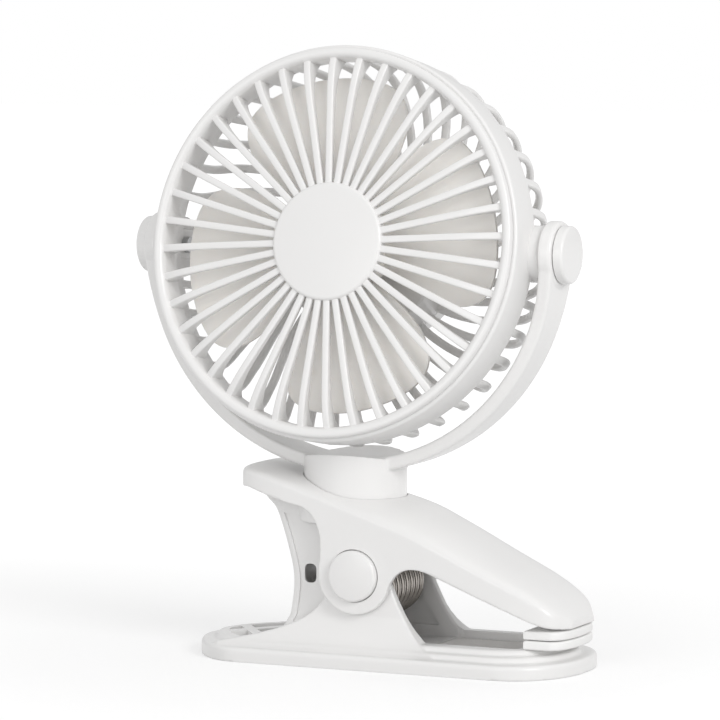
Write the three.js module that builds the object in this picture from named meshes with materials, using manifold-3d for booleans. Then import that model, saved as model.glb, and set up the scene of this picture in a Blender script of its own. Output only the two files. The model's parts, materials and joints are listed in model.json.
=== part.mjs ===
// A small rechargeable clip fan: a caged head that tilts in a yoke, a yoke that swivels on a spring clip,
// and a clip whose lower arm is broad enough to stand on a table.
// Millimetres, +Z up. The clip runs along X towards its jaw tip, and the fan faces -Y.
// Origin: where the neck's swivel axis meets the surface that the lower arm stands on.

import * as THREE from "three";
import { mergeVertices } from "three/addons/utils/BufferGeometryUtils.js";
import Module from "manifold-3d";

const wasm = await Module();
wasm.setup();

// ---------------------------------------------------------------- clearances
const SEAT = 0.3; // between pieces that rest on or against each other
const SWING = 0.4; // beside faces that turn past each other

// ---------------------------------------------------------------- hinge of the clip
const PIN_X = 8.4;
const PIN_Z = 28.6;
const PIN_R = 3;
const EAR_R = 12.3; // upper arm's round ears
const PIN_CAP_R = 8.1;
const PIN_CAP_PROUD = 2; // how far a cap stands out of the ear
const PIN_CAP_SUNK = 1.1; // how deep it sits in the ear

// ---------------------------------------------------------------- lower arm
const PLATE_BACK = -52.5;
const PLATE_FRONT = 79.5;
const PLATE_HALF = 28; // half width
const PLATE_EDGE = 4.6; // height of the outer edge
const DECK_TOP = 6.4; // height of the raised middle
const DECK_INSET = 4.6;
const JAW_BED_TOP = 8.2; // height of the rim round the jaw's floor
const JAW_BED_INSET = 7.5;
const JAW_BED_BACK = 30;
const MAT_BACK = 29;
const MAT_FRONT = 62;
const MAT_HALF = 15;
const MAT_FLOOR = 4.4;
const MAT_THICK = 1.4;
const CHEEK_THICK = 3;
const CHEEK_R = 10.6; // round top of the lower arm's cheeks
const CHEEK_POCKET = 1.2; // depth of the pocket in each cheek's inner face
const CHEEK_RIM = 4.5; // how far that pocket stays behind the cheek's front edge
const PIT_BACK = -22.5; // the pit in the plate that the upper arm's skirt swings into
const PIT_FRONT = 2;
const PIT_FLOOR = 2;
const OPENWORK_FRONT = PIT_BACK - 2;
const OPENWORK_INSET = 8.5;
const WEB_WIDTH = 3.4;

// ---------------------------------------------------------------- upper arm
const ARM_HALF = 20; // half width
const ARM_WALL = 2.4;
const ARM_TOP_THICK = 3;
const HANDLE_END = -35.8;
const HANDLE_FOOT = 54.8; // height of the handle's underside at its end
const TIP_END = 78;
const TIP_SOLID = 60; // the jaw is solid beyond this
const SHELL_TOP = 70; // above everything that is cut to the arm's crown
const NOSE_FOOT = 9.5; // height of the foot of the skirt that hangs from the handle, between the cheeks
const NOSE_FRONT = -3.6; // where the skirt's sides end, behind the spring
const NOSE_WALL = 1.4;
const NOSE_TURN = 2.6; // rounding of the skirt's upright corners
const PANEL_RIM = 3; // width of the raised edge round each side panel
const PANEL_DEEP = 0.6;
const PANEL_TOP = 46.6;
const SLOT_BACK = -11.7; // the slot through the skirt's sides
const SLOT_FRONT = -7.6;
const SLOT_FOOT = 24.6;
const SLOT_TOP = 30.7;

// ---------------------------------------------------------------- jaw pads
const PAD_THICK = 2.8;
const PAD_BACK = 64.2;
const PAD_FRONT = 78;
const PAD_HALF = 15.5;

// ---------------------------------------------------------------- torsion spring
const WIRE = 2; // wire diameter
const COIL_R = 9.6; // mean radius
const COIL_TURNS = 6;
const COIL_PITCH = 3.7;
const COIL_SLACK = 1.2; // between the pin and the coil that hangs on it
const COIL_STEPS = 8; // per turn
const UPPER_LEG_END_X = -15;
const LOWER_LEG_END_X = -6;

// ---------------------------------------------------------------- neck and yoke
const NECK_R = 16.4;
const POCKET_FLOOR = 47.2; // bottom of the round pocket that the neck turns in
const POCKET_WALL = 2.6;
const POCKET_BASE = 3; // thickness of the pocket's floor
const SPIGOT_R = 6;
const NECK_LONG = 16.5; // from the pocket's floor to the inside of the half ring
const YOKE_ROOM = 3.7; // between the head's band and the half ring
const YOKE_THICK = 4.4;
const YOKE_WIDTH = 15.4;
const YOKE_EAR_R = 10.5;
const YOKE_EAR_TAPER = 24; // how far below the axis the ear's taper ends
const CAP_R = 9.05;
const CAP_THICK = 3.1;
const BOSS_R = 8.9;
const SHOULDER_R = 2.6; // pivot screw's shank
const SCREW_HEAD_R = 5;
const SCREW_HEAD_H = 1.8;

// ---------------------------------------------------------------- head
const TILT = 9.6; // degrees that the head looks up at rest
const BAND_R = 62.5;
const BAND_WALL = 2.3;
const BAND_FRONT = -18.1; // along the fan's axis, which runs backwards
const BAND_BACK = -3;
const RIM_FRONT = -21;
const RIM_STEP = 1.1; // how far the rim stands inside the band's outer face
const RIM_FACE = 2.2; // width of the rim's front face
const SKIRT_DEPTH = 7.5; // of the rim's skirt inside the band
const SKIRT_WALL = 2;
const DISC_FRONT = -22.6;
const DISC_R = 18.6;
const FINS = 40;
const FIN_PHASE = 3.3; // degrees
const FIN_THICK = 2;
const RIBS = 40;
const RIB_WIDTH = 2.7;
const RIB_DEEP = 2.1;
const RIB_SWIRL = 22.5; // degrees that a rib turns clockwise, seen from the front, on its way to the cup
const CAGE_BACK = 19; // depth of the ribs' flat back
const CUP_R = 27;
const CUP_WALL = 1.8;
const CUP_FRONT = 4;
const CUP_BACK = 20.4;
const COVER_BACK = 31;

// ---------------------------------------------------------------- impeller and motor
const BLADES = 4;
const BLADE_TIP_GAP = 4.9; // between a blade's tip and the rim's skirt
const BLADE_HALF = 40; // half of a blade's angle, degrees
const BLADE_PHASE = 102; // middle of the first blade, degrees
const BLADE_FRONT = -15.2;
const BLADE_BACK = -4.6;
const BLADE_THICK = 1.3;
const HUB_R = 14;
const HUB_FRONT = -17.2;
const HUB_BACK = -2.6;
const SHAFT_R = 1;
const MOTOR_R = 12.2;
const MOTOR_LONG = 11;
const MOTOR_NOSE_R = 3.2;
const MOTOR_NOSE = 1.2;
const MOTOR_SCREW_OUT = 8.5;
const BATTERY = [34, 5.2, 25];
const COVER_POST_R = 2.6;
const BOARD_THICK = 1.6;
const BUTTON_R = 5;
const BUTTON_TRAVEL = 0.6;
const BUTTON_UP = 9; // how far above the fan's axis the button sits
const LIGHT_OUT = 9;
const LIGHT_R = 1.3;
const SWITCH_TALL = 1; // of the switch under the button
const BUTTON_GAP = 0.1; // between the pressed button and the switch
const SOCKET = [9, 3.2, 7.2]; // charging inlet: wide, deep, long

// ---------------------------------------------------------------- sizes that follow from the others
const RIM_R = BAND_R - RIM_STEP;
const RIM_OPENING = RIM_R - RIM_FACE;
const SKIRT_OUT = BAND_R - BAND_WALL - SEAT;
const BLADE_TIP_R = SKIRT_OUT - SKIRT_WALL - BLADE_TIP_GAP;
const YOKE_IN = BAND_R + YOKE_ROOM; // inner radius of the half ring
const YOKE_OUT = YOKE_IN + YOKE_THICK;
const PIVOT_H = POCKET_FLOOR + NECK_LONG + YOKE_IN; // height of the head's tilt axis

// ---------------------------------------------------------------- solids from three.js geometry
function solidOf(geometry) {
  const bare = geometry.index ? geometry.toNonIndexed() : geometry.clone();
  bare.deleteAttribute("normal");
  bare.deleteAttribute("uv");
  const merged = mergeVertices(bare, 1e-4);
  const triVerts = new Uint32Array(merged.index.array);
  const vertProperties = merged.attributes.position.array;
  const made = new wasm.Manifold(new wasm.Mesh({ numProp: 3, vertProperties, triVerts }));
  if (made.volume() >= 0) return made;
  const turnedOut = triVerts.slice().reverse();
  return new wasm.Manifold(new wasm.Mesh({ numProp: 3, vertProperties, triVerts: turnedOut }));
}

function geometryOf(solid) {
  const mesh = solid.getMesh();
  const geometry = new THREE.BufferGeometry();
  const positions = new Float32Array(mesh.vertProperties);
  geometry.setAttribute("position", new THREE.BufferAttribute(positions, mesh.numProp));
  geometry.setIndex(new THREE.BufferAttribute(new Uint32Array(mesh.triVerts), 1));
  geometry.computeVertexNormals();
  return geometry;
}

const join = (...solids) => solids.reduce((whole, piece) => whole.add(piece));
const cut = (body, ...tools) => tools.reduce((left, tool) => left.subtract(tool), body);
const common = (...solids) => solids.reduce((whole, piece) => whole.intersect(piece));
const moved = (solid, x, y, z) => solid.translate([x, y, z]);
const spun = (solid, degrees) => solid.rotate([0, degrees, 0]); // about the fan's axis
const radians = THREE.MathUtils.degToRad;

// Turns [radius, along] points about an axis. The profile is closed, or starts and ends on the axis.
function turned(profile, axis = "y", segments = 40) {
  const points = profile.map(([r, along]) => new THREE.Vector2(r, along));
  const last = points[points.length - 1];
  if (points[0].x > 0 || last.x > 0) points.push(points[0].clone());
  const geometry = new THREE.LatheGeometry(points, segments);
  if (axis === "x") geometry.rotateZ(-Math.PI / 2);
  if (axis === "z") geometry.rotateX(Math.PI / 2);
  return solidOf(geometry);
}

function rod(axis, radius, from, to, segments = 20) {
  const profile = [
    [0, from],
    [radius, from],
    [radius, to],
    [0, to],
  ];
  return turned(profile, axis, segments);
}

// A rod whose far edge, at "to", is chamfered.
function button(axis, radius, from, to, round, segments = 28) {
  const inward = Math.sign(to - from) * round;
  const profile = [
    [0, from],
    [radius, from],
    [radius, to - inward],
    [radius - round, to],
    [0, to],
  ];
  return turned(profile, axis, segments);
}

function block(x0, x1, y0, y1, z0, z1) {
  const geometry = new THREE.BoxGeometry(x1 - x0, y1 - y0, z1 - z0);
  geometry.translate((x0 + x1) / 2, (y0 + y1) / 2, (z0 + z1) / 2);
  return solidOf(geometry);
}

function extruded(shape, depth, bevel, curveSegments) {
  return new THREE.ExtrudeGeometry(shape, {
    depth: depth - 2 * bevel,
    bevelEnabled: bevel > 0,
    bevelThickness: bevel,
    bevelSize: bevel,
    bevelOffset: -bevel,
    bevelSegments: 1,
    curveSegments,
  }).translate(0, 0, bevel);
}

// Slabs of a drawn shape: standing along X (drawn in y, z), along Y (drawn in x, z) and along Z (drawn in x, y).
function slabX(shape, x0, x1, bevel = 0, curveSegments = 8) {
  const turn = new THREE.Matrix4().makeBasis(
    new THREE.Vector3(0, 1, 0),
    new THREE.Vector3(0, 0, 1),
    new THREE.Vector3(1, 0, 0),
  );
  return solidOf(extruded(shape, x1 - x0, bevel, curveSegments).applyMatrix4(turn).translate(x0, 0, 0));
}

function slabY(shape, y0, y1, bevel = 0, curveSegments = 8) {
  return solidOf(extruded(shape, y1 - y0, bevel, curveSegments).rotateX(Math.PI / 2).translate(0, y1, 0));
}

function slabZ(shape, z0, z1, bevel = 0, curveSegments = 8) {
  return solidOf(extruded(shape, z1 - z0, bevel, curveSegments).translate(0, 0, z0));
}

// Skins rings of equal length, one after another, and closes both ends.
function lofted(rings) {
  const count = rings[0].length;
  const positions = rings.flat().flatMap((p) => [p.x, p.y, p.z]);
  const index = [];
  for (let i = 0; i + 1 < rings.length; i++) {
    for (let j = 0; j < count; j++) {
      const a = i * count + j;
      const b = i * count + ((j + 1) % count);
      index.push(a, b, a + count, b, b + count, a + count);
    }
  }
  const cap = (ring, first, flip) => {
    const middle = ring.reduce((sum, p) => sum.add(p), new THREE.Vector3()).divideScalar(count);
    const hub = positions.length / 3;
    positions.push(middle.x, middle.y, middle.z);
    for (let j = 0; j < count; j++) {
      const a = first + j;
      const b = first + ((j + 1) % count);
      index.push(...(flip ? [hub, b, a] : [hub, a, b]));
    }
  };
  cap(rings[0], 0, true);
  cap(rings[rings.length - 1], (rings.length - 1) * count, false);
  const geometry = new THREE.BufferGeometry();
  geometry.setAttribute("position", new THREE.Float32BufferAttribute(positions, 3));
  geometry.setIndex(index);
  return solidOf(geometry);
}

// Sweeps an oval along points. Its width lies along the "across" vector that is given at each point.
function swept(points, across, width, deep, sides) {
  const rings = points.map((point, i) => {
    const before = points[Math.max(i - 1, 0)];
    const after = points[Math.min(i + 1, points.length - 1)];
    const forward = after.clone().sub(before).normalize();
    const side = new THREE.Vector3().crossVectors(forward, across[i]).normalize();
    const wide = new THREE.Vector3().crossVectors(side, forward);
    return Array.from({ length: sides }, (_, j) => {
      const angle = (2 * Math.PI * (j + 0.5)) / sides;
      const out = wide.clone().multiplyScalar((Math.cos(angle) * width) / 2);
      return out.addScaledVector(side, (Math.sin(angle) * deep) / 2).add(point);
    });
  });
  return lofted(rings);
}

// Rectangle with round corners, centred on x, y.
function roundedRect(x, y, width, height, radius) {
  const shape = new THREE.Shape();
  const left = x - width / 2;
  const right = x + width / 2;
  const low = y - height / 2;
  const high = y + height / 2;
  shape.moveTo(left + radius, low);
  shape.lineTo(right - radius, low);
  shape.absarc(right - radius, low + radius, radius, -Math.PI / 2, 0);
  shape.lineTo(right, high - radius);
  shape.absarc(right - radius, high - radius, radius, 0, Math.PI / 2);
  shape.lineTo(left + radius, high);
  shape.absarc(left + radius, high - radius, radius, Math.PI / 2, Math.PI);
  shape.lineTo(left, low + radius);
  shape.absarc(left + radius, low + radius, radius, Math.PI, 1.5 * Math.PI);
  return shape;
}

// ---------------------------------------------------------------- materials
const plastic = (color, roughness) => new THREE.MeshStandardMaterial({ color, roughness, metalness: 0 });
const metal = (color, roughness) => new THREE.MeshStandardMaterial({ color, roughness, metalness: 1 });
const WHITE = plastic(0xf1f0ee, 0.32);
const MILKY = plastic(0xe8e3da, 0.4);
const SOFT_WHITE = plastic(0xf4f3f0, 0.6);
const MAT_GREY = plastic(0xcfccc8, 0.85);
const BLACK = plastic(0x1c1c1e, 0.5);
const BOARD_GREEN = plastic(0x1f5d3a, 0.6);
const CELL_FILM = plastic(0x9fb4c6, 0.45);
const LENS = plastic(0xdfeaf2, 0.2);
const STEEL = metal(0xc4c2bd, 0.28);
const ZINC = metal(0xa9aaac, 0.4);

const fan = new THREE.Group();
const head = new THREE.Group();
head.position.z = PIVOT_H;
head.rotation.x = -radians(TILT);
fan.add(head);

function piece(group, name, solid, material) {
  const mesh = new THREE.Mesh(geometryOf(solid), material);
  mesh.name = name;
  group.add(mesh);
}

// ---------------------------------------------------------------- lower arm
// Outline of the plate from above, drawn "inset" inside its true edge.
function plateOutline(inset) {
  const back = PLATE_BACK + inset;
  const front = PLATE_FRONT - inset;
  const half = PLATE_HALF - inset;
  const backTurn = 22.5;
  const frontTurn = 21.5;
  const shape = new THREE.Shape();
  shape.moveTo(back + backTurn, -half);
  shape.lineTo(front - frontTurn, -half);
  shape.bezierCurveTo(front - frontTurn * 0.44, -half, front, -half * 0.64, front, 0);
  shape.bezierCurveTo(front, half * 0.64, front - frontTurn * 0.44, half, front - frontTurn, half);
  shape.lineTo(back + backTurn, half);
  shape.bezierCurveTo(back + backTurn * 0.42, half, back, half * 0.29, back, 0);
  shape.bezierCurveTo(back, -half * 0.29, back + backTurn * 0.42, -half, back + backTurn, -half);
  return shape;
}

// Side view of the lower arm's cheeks: they sweep up from the plate to a round top about the pin.
function cheekSide() {
  const low = PLATE_EDGE - 1.5;
  const shape = new THREE.Shape();
  shape.moveTo(-44, low);
  shape.lineTo(-38, PLATE_EDGE + 1);
  shape.bezierCurveTo(-20, 9, -5, 13, PIN_X - CHEEK_R * 0.92, PIN_Z - CHEEK_R * 0.39);
  shape.absarc(PIN_X, PIN_Z, CHEEK_R, radians(203), radians(-8), true);
  shape.bezierCurveTo(21, 24, 25, 9, 36, PLATE_EDGE + 1);
  shape.lineTo(40, low);
  return shape;
}

const CHEEK_OUT = ARM_HALF - ARM_WALL - SWING; // outer face of the lower arm's cheeks
const CHEEK_IN = CHEEK_OUT - CHEEK_THICK;

// End view of the cheeks: thin beside the ears, then flaring out to the edge of the plate.
function cheekEnd(sign) {
  const low = PLATE_EDGE - 1.5;
  const high = PIN_Z + CHEEK_R + 1;
  const flareTop = PIN_Z - EAR_R - SWING - 0.4;
  const shape = new THREE.Shape();
  shape.moveTo(sign * CHEEK_IN, low);
  shape.lineTo(sign * CHEEK_IN, high);
  shape.lineTo(sign * CHEEK_OUT, high);
  shape.lineTo(sign * CHEEK_OUT, flareTop);
  shape.quadraticCurveTo(sign * (CHEEK_OUT + 1.6), PLATE_EDGE + 2.6, sign * (PLATE_HALF - 1.5), PLATE_EDGE - 0.4);
  shape.lineTo(sign * (PLATE_HALF - 1.5), low);
  return shape;
}

// The pocket in a cheek's inner face, below the spring: it follows the cheek's front edge.
function cheekPocket(sign) {
  const foot = MAT_FLOOR + MAT_THICK + 3.5;
  const top = PIN_Z - PIN_R - 4;
  const shape = new THREE.Shape();
  shape.moveTo(PIN_X - 5, foot);
  shape.lineTo(27.6 - CHEEK_RIM, foot);
  shape.lineTo(21.6 - CHEEK_RIM, top - 3);
  shape.lineTo(21 - CHEEK_RIM, top);
  shape.lineTo(PIN_X - 5, top);
  const inner = sign * (CHEEK_IN - 1);
  const outer = sign * (CHEEK_IN + CHEEK_POCKET);
  return slabY(shape, Math.min(inner, outer), Math.max(inner, outer), 0, 1);
}

// Openwork of the plate at the handle end: the holes are what a web of bars leaves open.
function openwork() {
  const field = slabZ(plateOutline(OPENWORK_INSET), -1, DECK_TOP + 3);
  const window = block(PLATE_BACK, OPENWORK_FRONT, -PLATE_HALF, PLATE_HALF, -1, DECK_TOP + 3);
  const bars = [];
  for (const side of [-1, 1]) {
    const lean = new THREE.BoxGeometry(40, WEB_WIDTH, 20).rotateZ(side * radians(52));
    bars.push(solidOf(lean.translate(-32.5, side * 6, 3)));
  }
  const cross = new THREE.BoxGeometry(WEB_WIDTH, 40, 20).translate(-27, 0, 3);
  return cut(common(field, window), ...bars, common(solidOf(cross), block(-30, -20, -9, 9, -9, 20)));
}

function lowerArm() {
  const edge = slabZ(plateOutline(0), 0, PLATE_EDGE, 1, 8);
  const deck = slabZ(plateOutline(DECK_INSET), 1, DECK_TOP, 1.6, 8);
  const bedSide = block(JAW_BED_BACK, PLATE_FRONT, -PLATE_HALF, PLATE_HALF, 1, JAW_BED_TOP + 1);
  const bed = common(slabZ(plateOutline(JAW_BED_INSET), 1, JAW_BED_TOP, 1.6, 8), bedSide);
  const side = slabY(cheekSide(), -PLATE_HALF, PLATE_HALF, 0, 8);
  const footprint = slabZ(plateOutline(1.2), 0, PIN_Z + CHEEK_R + 2);
  const cheeks = [-1, 1].map((sign) => common(common(slabX(cheekEnd(sign), -45, 45, 0, 5), side), footprint));
  const matWide = 2 * (MAT_HALF + SEAT);
  const matLong = MAT_FRONT - MAT_BACK + 2 * SEAT;
  const matSeat = roundedRect((MAT_BACK + MAT_FRONT) / 2, 0, matLong, matWide, 3);
  const floor = block(PIN_X - 12, MAT_BACK + 2, -CHEEK_IN, CHEEK_IN, MAT_FLOOR + MAT_THICK, JAW_BED_TOP + 2);
  return cut(
    join(edge, deck, bed, ...cheeks),
    slabZ(matSeat, MAT_FLOOR - SEAT, JAW_BED_TOP + 2, 0, 4),
    floor,
    block(PIT_BACK, PIT_FRONT, -CHEEK_IN, CHEEK_IN, PIT_FLOOR, DECK_TOP + 3),
    cheekPocket(-1),
    cheekPocket(1),
    openwork(),
    moved(rod("y", PIN_R + SEAT, -PLATE_HALF, PLATE_HALF), PIN_X, 0, PIN_Z),
  );
}

// ---------------------------------------------------------------- upper arm
// Crown line and edge line of the arm's top, as [x, height], from the handle's end to the jaw tip.
const CROWN = [
  [HANDLE_END, 60.2],
  [-33.4, 60.9],
  [-29.5, 61.3],
  [-17, 59],
  [18, 51.4],
  [32, 45.6],
  [50, 36],
  [64, 28.6],
  [73, 22.6],
  [TIP_END, 17.5],
];
const CROWN_DROP = [0.8, 1, 1, 1.4, 5, 4.4, 3, 2, 1.6, 1]; // from crown to edge, at each of those
const HALF_WIDTH = [7.5, 13.5, 18.2, ARM_HALF, ARM_HALF, ARM_HALF, 19.7, 18.7, 16.4, 9.5];
const ACROSS = [0, 0.6, 0.9, 1]; // shares of the half width at which the crown is drawn

// The arm's upper body, "inset" inside its true skin, standing on z = 0.
function armBody(inset, thick) {
  const rings = CROWN.map(([x, height], i) => {
    const half = HALF_WIDTH[i] - inset;
    const point = (share) => {
      const z = height - thick - CROWN_DROP[i] * Math.abs(share) ** 3 - 1.4 * Math.abs(share) ** 24;
      return new THREE.Vector3(x, share * half, z);
    };
    const left = ACROSS.slice(1).reverse().map((share) => point(-share));
    const right = ACROSS.map((share) => point(share));
    return [new THREE.Vector3(x, -half, 0), ...left, ...right, new THREE.Vector3(x, half, 0)];
  });
  return lofted(rings);
}

// Side view of the upper arm: handle, round ear about the pin, arch over the spring, and jaw.
function armSide() {
  const padSeat = PAD_TOP + SEAT;
  const shape = new THREE.Shape();
  shape.moveTo(HANDLE_END - 2, SHELL_TOP);
  shape.lineTo(HANDLE_END - 2, HANDLE_FOOT);
  shape.lineTo(-29.5, HANDLE_FOOT);
  shape.bezierCurveTo(-24, 53.4, -18, 50.9, -11.2, 49.7);
  shape.bezierCurveTo(-5.5, 48.7, -1.5, 41.5, PIN_X - EAR_R, PIN_Z + 2);
  shape.absarc(PIN_X, PIN_Z, EAR_R, radians(172), radians(-12), false);
  shape.bezierCurveTo(22.6, 30.6, 27, 33.4, 35, 30);
  shape.lineTo(TIP_SOLID, 20);
  shape.bezierCurveTo(TIP_SOLID + 6, 17.6, PAD_BACK + 6, padSeat + 0.6, TIP_END + 1, padSeat);
  shape.lineTo(TIP_END + 2, SHELL_TOP);
  return shape;
}

// Back face of the skirt that hangs from the handle, as [height, x], from its foot up into the handle.
const NOSE_LINE = [
  [NOSE_FOOT, -20.2],
  [12.6, -18.4],
  [15.2, -17.2],
  [24.4, -16.1],
  [32.5, -17.2],
  [PANEL_TOP, -21.7],
  [51.3, -25.6],
  [57.5, -30.6],
];
const NOSE_HALF = CHEEK_IN - SWING;

// The skirt as a solid, "inset" inside its true skin, open towards the spring.
function noseBody(inset) {
  const half = NOSE_HALF - inset;
  const turn = NOSE_TURN - inset;
  const rings = NOSE_LINE.map(([height, x], i) => {
    const back = x + inset;
    const z = i === 0 ? height - inset : height;
    const side = (sign) => [
      [NOSE_FRONT + inset, sign * half],
      [back + turn, sign * half],
      [back + turn * 0.3, sign * (half - turn * 0.3)],
      [back, sign * (half - turn)],
    ];
    return [...side(-1), ...side(1).reverse()].map(([px, py]) => new THREE.Vector3(px, py, z));
  });
  return lofted(rings);
}

// The recessed panel of the skirt's side: it leaves a raised rim along the skirt's back edge and foot.
function nosePanel(sign) {
  const shape = new THREE.Shape();
  shape.moveTo(NOSE_FRONT + 1, NOSE_FOOT + PANEL_RIM * 0.8);
  for (const [height, x] of NOSE_LINE.filter(([z]) => z > NOSE_FOOT + 2 && z <= PANEL_TOP)) {
    shape.lineTo(x + PANEL_RIM, height);
  }
  shape.lineTo(NOSE_FRONT + 1, PANEL_TOP - 2);
  const face = sign * (NOSE_HALF - PANEL_DEEP);
  const out = sign * (NOSE_HALF + 1);
  return slabY(shape, Math.min(face, out), Math.max(face, out), 0, 1);
}

function nose() {
  const middleX = (SLOT_BACK + SLOT_FRONT) / 2;
  const middleZ = (SLOT_FOOT + SLOT_TOP) / 2;
  const outline = roundedRect(middleX, middleZ, SLOT_FRONT - SLOT_BACK, SLOT_TOP - SLOT_FOOT, 1.9);
  const slot = slabY(outline, -NOSE_HALF - 1, NOSE_HALF + 1, 0, 3);
  return common(cut(noseBody(0), noseBody(NOSE_WALL), nosePanel(-1), nosePanel(1), slot), armBody(0, 0));
}

function upperArm() {
  const side = slabY(armSide(), -ARM_HALF - 1, ARM_HALF + 1, 0, 10);
  const shell = common(armBody(0, 0), side);
  const inner = armBody(ARM_WALL, ARM_TOP_THICK);
  const hollow = common(inner, block(HANDLE_END + 5, TIP_SOLID, -ARM_HALF, ARM_HALF, -1, SHELL_TOP));
  const pocketR = NECK_R + SEAT;
  const pocketFoot = POCKET_FLOOR - POCKET_BASE;
  const pocket = common(rod("z", pocketR + POCKET_WALL, pocketFoot, SHELL_TOP, 40), armBody(0, 0));
  const capSink = PIN_CAP_SUNK + SEAT;
  const sinks = [-1, 1].map((sign) => {
    const from = sign * (ARM_HALF - capSink);
    const to = sign * (ARM_HALF + 2);
    return moved(rod("y", PIN_CAP_R + SEAT, Math.min(from, to), Math.max(from, to), 40), PIN_X, 0, PIN_Z);
  });
  return cut(
    join(cut(shell, hollow), nose(), pocket),
    rod("z", pocketR, POCKET_FLOOR, SHELL_TOP, 40),
    rod("z", SPIGOT_R + SEAT, 0, SHELL_TOP),
    moved(rod("y", PIN_R + SEAT, -ARM_HALF - 1, ARM_HALF + 1), PIN_X, 0, PIN_Z),
    ...sinks,
  );
}

// ---------------------------------------------------------------- jaw pads
const LOWER_PAD_FOOT = JAW_BED_TOP + 0.05;
const PAD_TOP = LOWER_PAD_FOOT + 2 * PAD_THICK + SEAT;

// Outline of a pad from above: straight at the back, round at the tip.
function padOutline() {
  const shape = new THREE.Shape();
  const turn = 6;
  shape.moveTo(PAD_BACK, -PAD_HALF);
  shape.lineTo(PAD_FRONT - turn, -PAD_HALF);
  shape.bezierCurveTo(PAD_FRONT - 2, -PAD_HALF, PAD_FRONT, -PAD_HALF + 5, PAD_FRONT, 0);
  shape.bezierCurveTo(PAD_FRONT, PAD_HALF - 5, PAD_FRONT - 2, PAD_HALF, PAD_FRONT - turn, PAD_HALF);
  shape.lineTo(PAD_BACK, PAD_HALF);
  return shape;
}

// ---------------------------------------------------------------- torsion spring
// Centre line of the wire: a leg under the handle, the coil round the pin, and a leg on the plate.
function springLine() {
  const half = (COIL_TURNS * COIL_PITCH) / 2;
  const coilZ = PIN_Z - (COIL_R - WIRE / 2 - PIN_R - COIL_SLACK);
  const legTouch = (end) => {
    const dx = end.x - PIN_X;
    const dz = end.z - coilZ;
    return Math.atan2(dz, dx) + Math.acos(COIL_R / Math.hypot(dx, dz)); // where a straight leg meets the coil
  };
  const upper = { x: UPPER_LEG_END_X, z: POCKET_FLOOR - POCKET_BASE - SEAT - WIRE / 2 };
  const lower = { x: LOWER_LEG_END_X, z: PIT_FLOOR + SEAT + WIRE / 2 };
  const start = legTouch(upper) - 2 * Math.acos(COIL_R / Math.hypot(upper.x - PIN_X, upper.z - coilZ));
  const finish = legTouch(lower);
  const sweep = COIL_TURNS * 2 * Math.PI + (start - finish);
  const steps = Math.round((sweep / (2 * Math.PI)) * COIL_STEPS);
  const line = [new THREE.Vector3(upper.x, -half, upper.z)];
  for (let i = 0; i <= steps; i++) {
    const angle = start - (sweep * i) / steps;
    const x = PIN_X + COIL_R * Math.cos(angle);
    const z = coilZ + COIL_R * Math.sin(angle);
    line.push(new THREE.Vector3(x, -half + (2 * half * i) / steps, z));
  }
  line.push(new THREE.Vector3(lower.x, half, lower.z));
  return line;
}

// Least gap between turns of the wire, measured on points half a step apart.
function leastGap(line) {
  const dense = line.flatMap((p, i) => (i ? [line[i - 1].clone().add(p).divideScalar(2), p] : [p]));
  let least = Infinity;
  for (let i = 0; i < dense.length; i++) {
    for (let j = i + COIL_STEPS; j < dense.length; j++) {
      least = Math.min(least, dense[i].distanceTo(dense[j]) - WIRE);
    }
  }
  return least;
}

function torsionSpring() {
  const line = springLine();
  console.log("torsion_spring least gap to itself, mm:", leastGap(line).toFixed(2));
  const across = line.map(() => new THREE.Vector3(0, 1, 0));
  return swept(line, across, WIRE, WIRE, 5);
}

// ---------------------------------------------------------------- yoke
function yokeFace() {
  const shape = new THREE.Shape();
  const top = YOKE_EAR_R + 1;
  shape.moveTo(-YOKE_OUT, top);
  shape.lineTo(-YOKE_OUT, 0);
  shape.absarc(0, 0, YOKE_OUT, Math.PI, 2 * Math.PI, false);
  shape.lineTo(YOKE_OUT, top);
  shape.lineTo(YOKE_IN, top);
  shape.lineTo(YOKE_IN, 0);
  shape.absarc(0, 0, YOKE_IN, 2 * Math.PI, Math.PI, true);
  shape.lineTo(-YOKE_IN, top);
  return shape;
}

// Side view of the yoke: an even strip that widens to a round ear at the tilt axis.
function yokeSide() {
  const half = YOKE_WIDTH / 2;
  const shape = new THREE.Shape();
  shape.moveTo(-half, -YOKE_OUT - 1);
  shape.lineTo(half, -YOKE_OUT - 1);
  shape.lineTo(half, -YOKE_EAR_TAPER);
  shape.quadraticCurveTo(half, -YOKE_EAR_TAPER * 0.55, YOKE_EAR_R * 0.94, -YOKE_EAR_R * 0.34);
  shape.absarc(0, 0, YOKE_EAR_R, radians(-20), radians(200), false);
  shape.quadraticCurveTo(-half, -YOKE_EAR_TAPER * 0.55, -half, -YOKE_EAR_TAPER);
  return shape;
}

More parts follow.
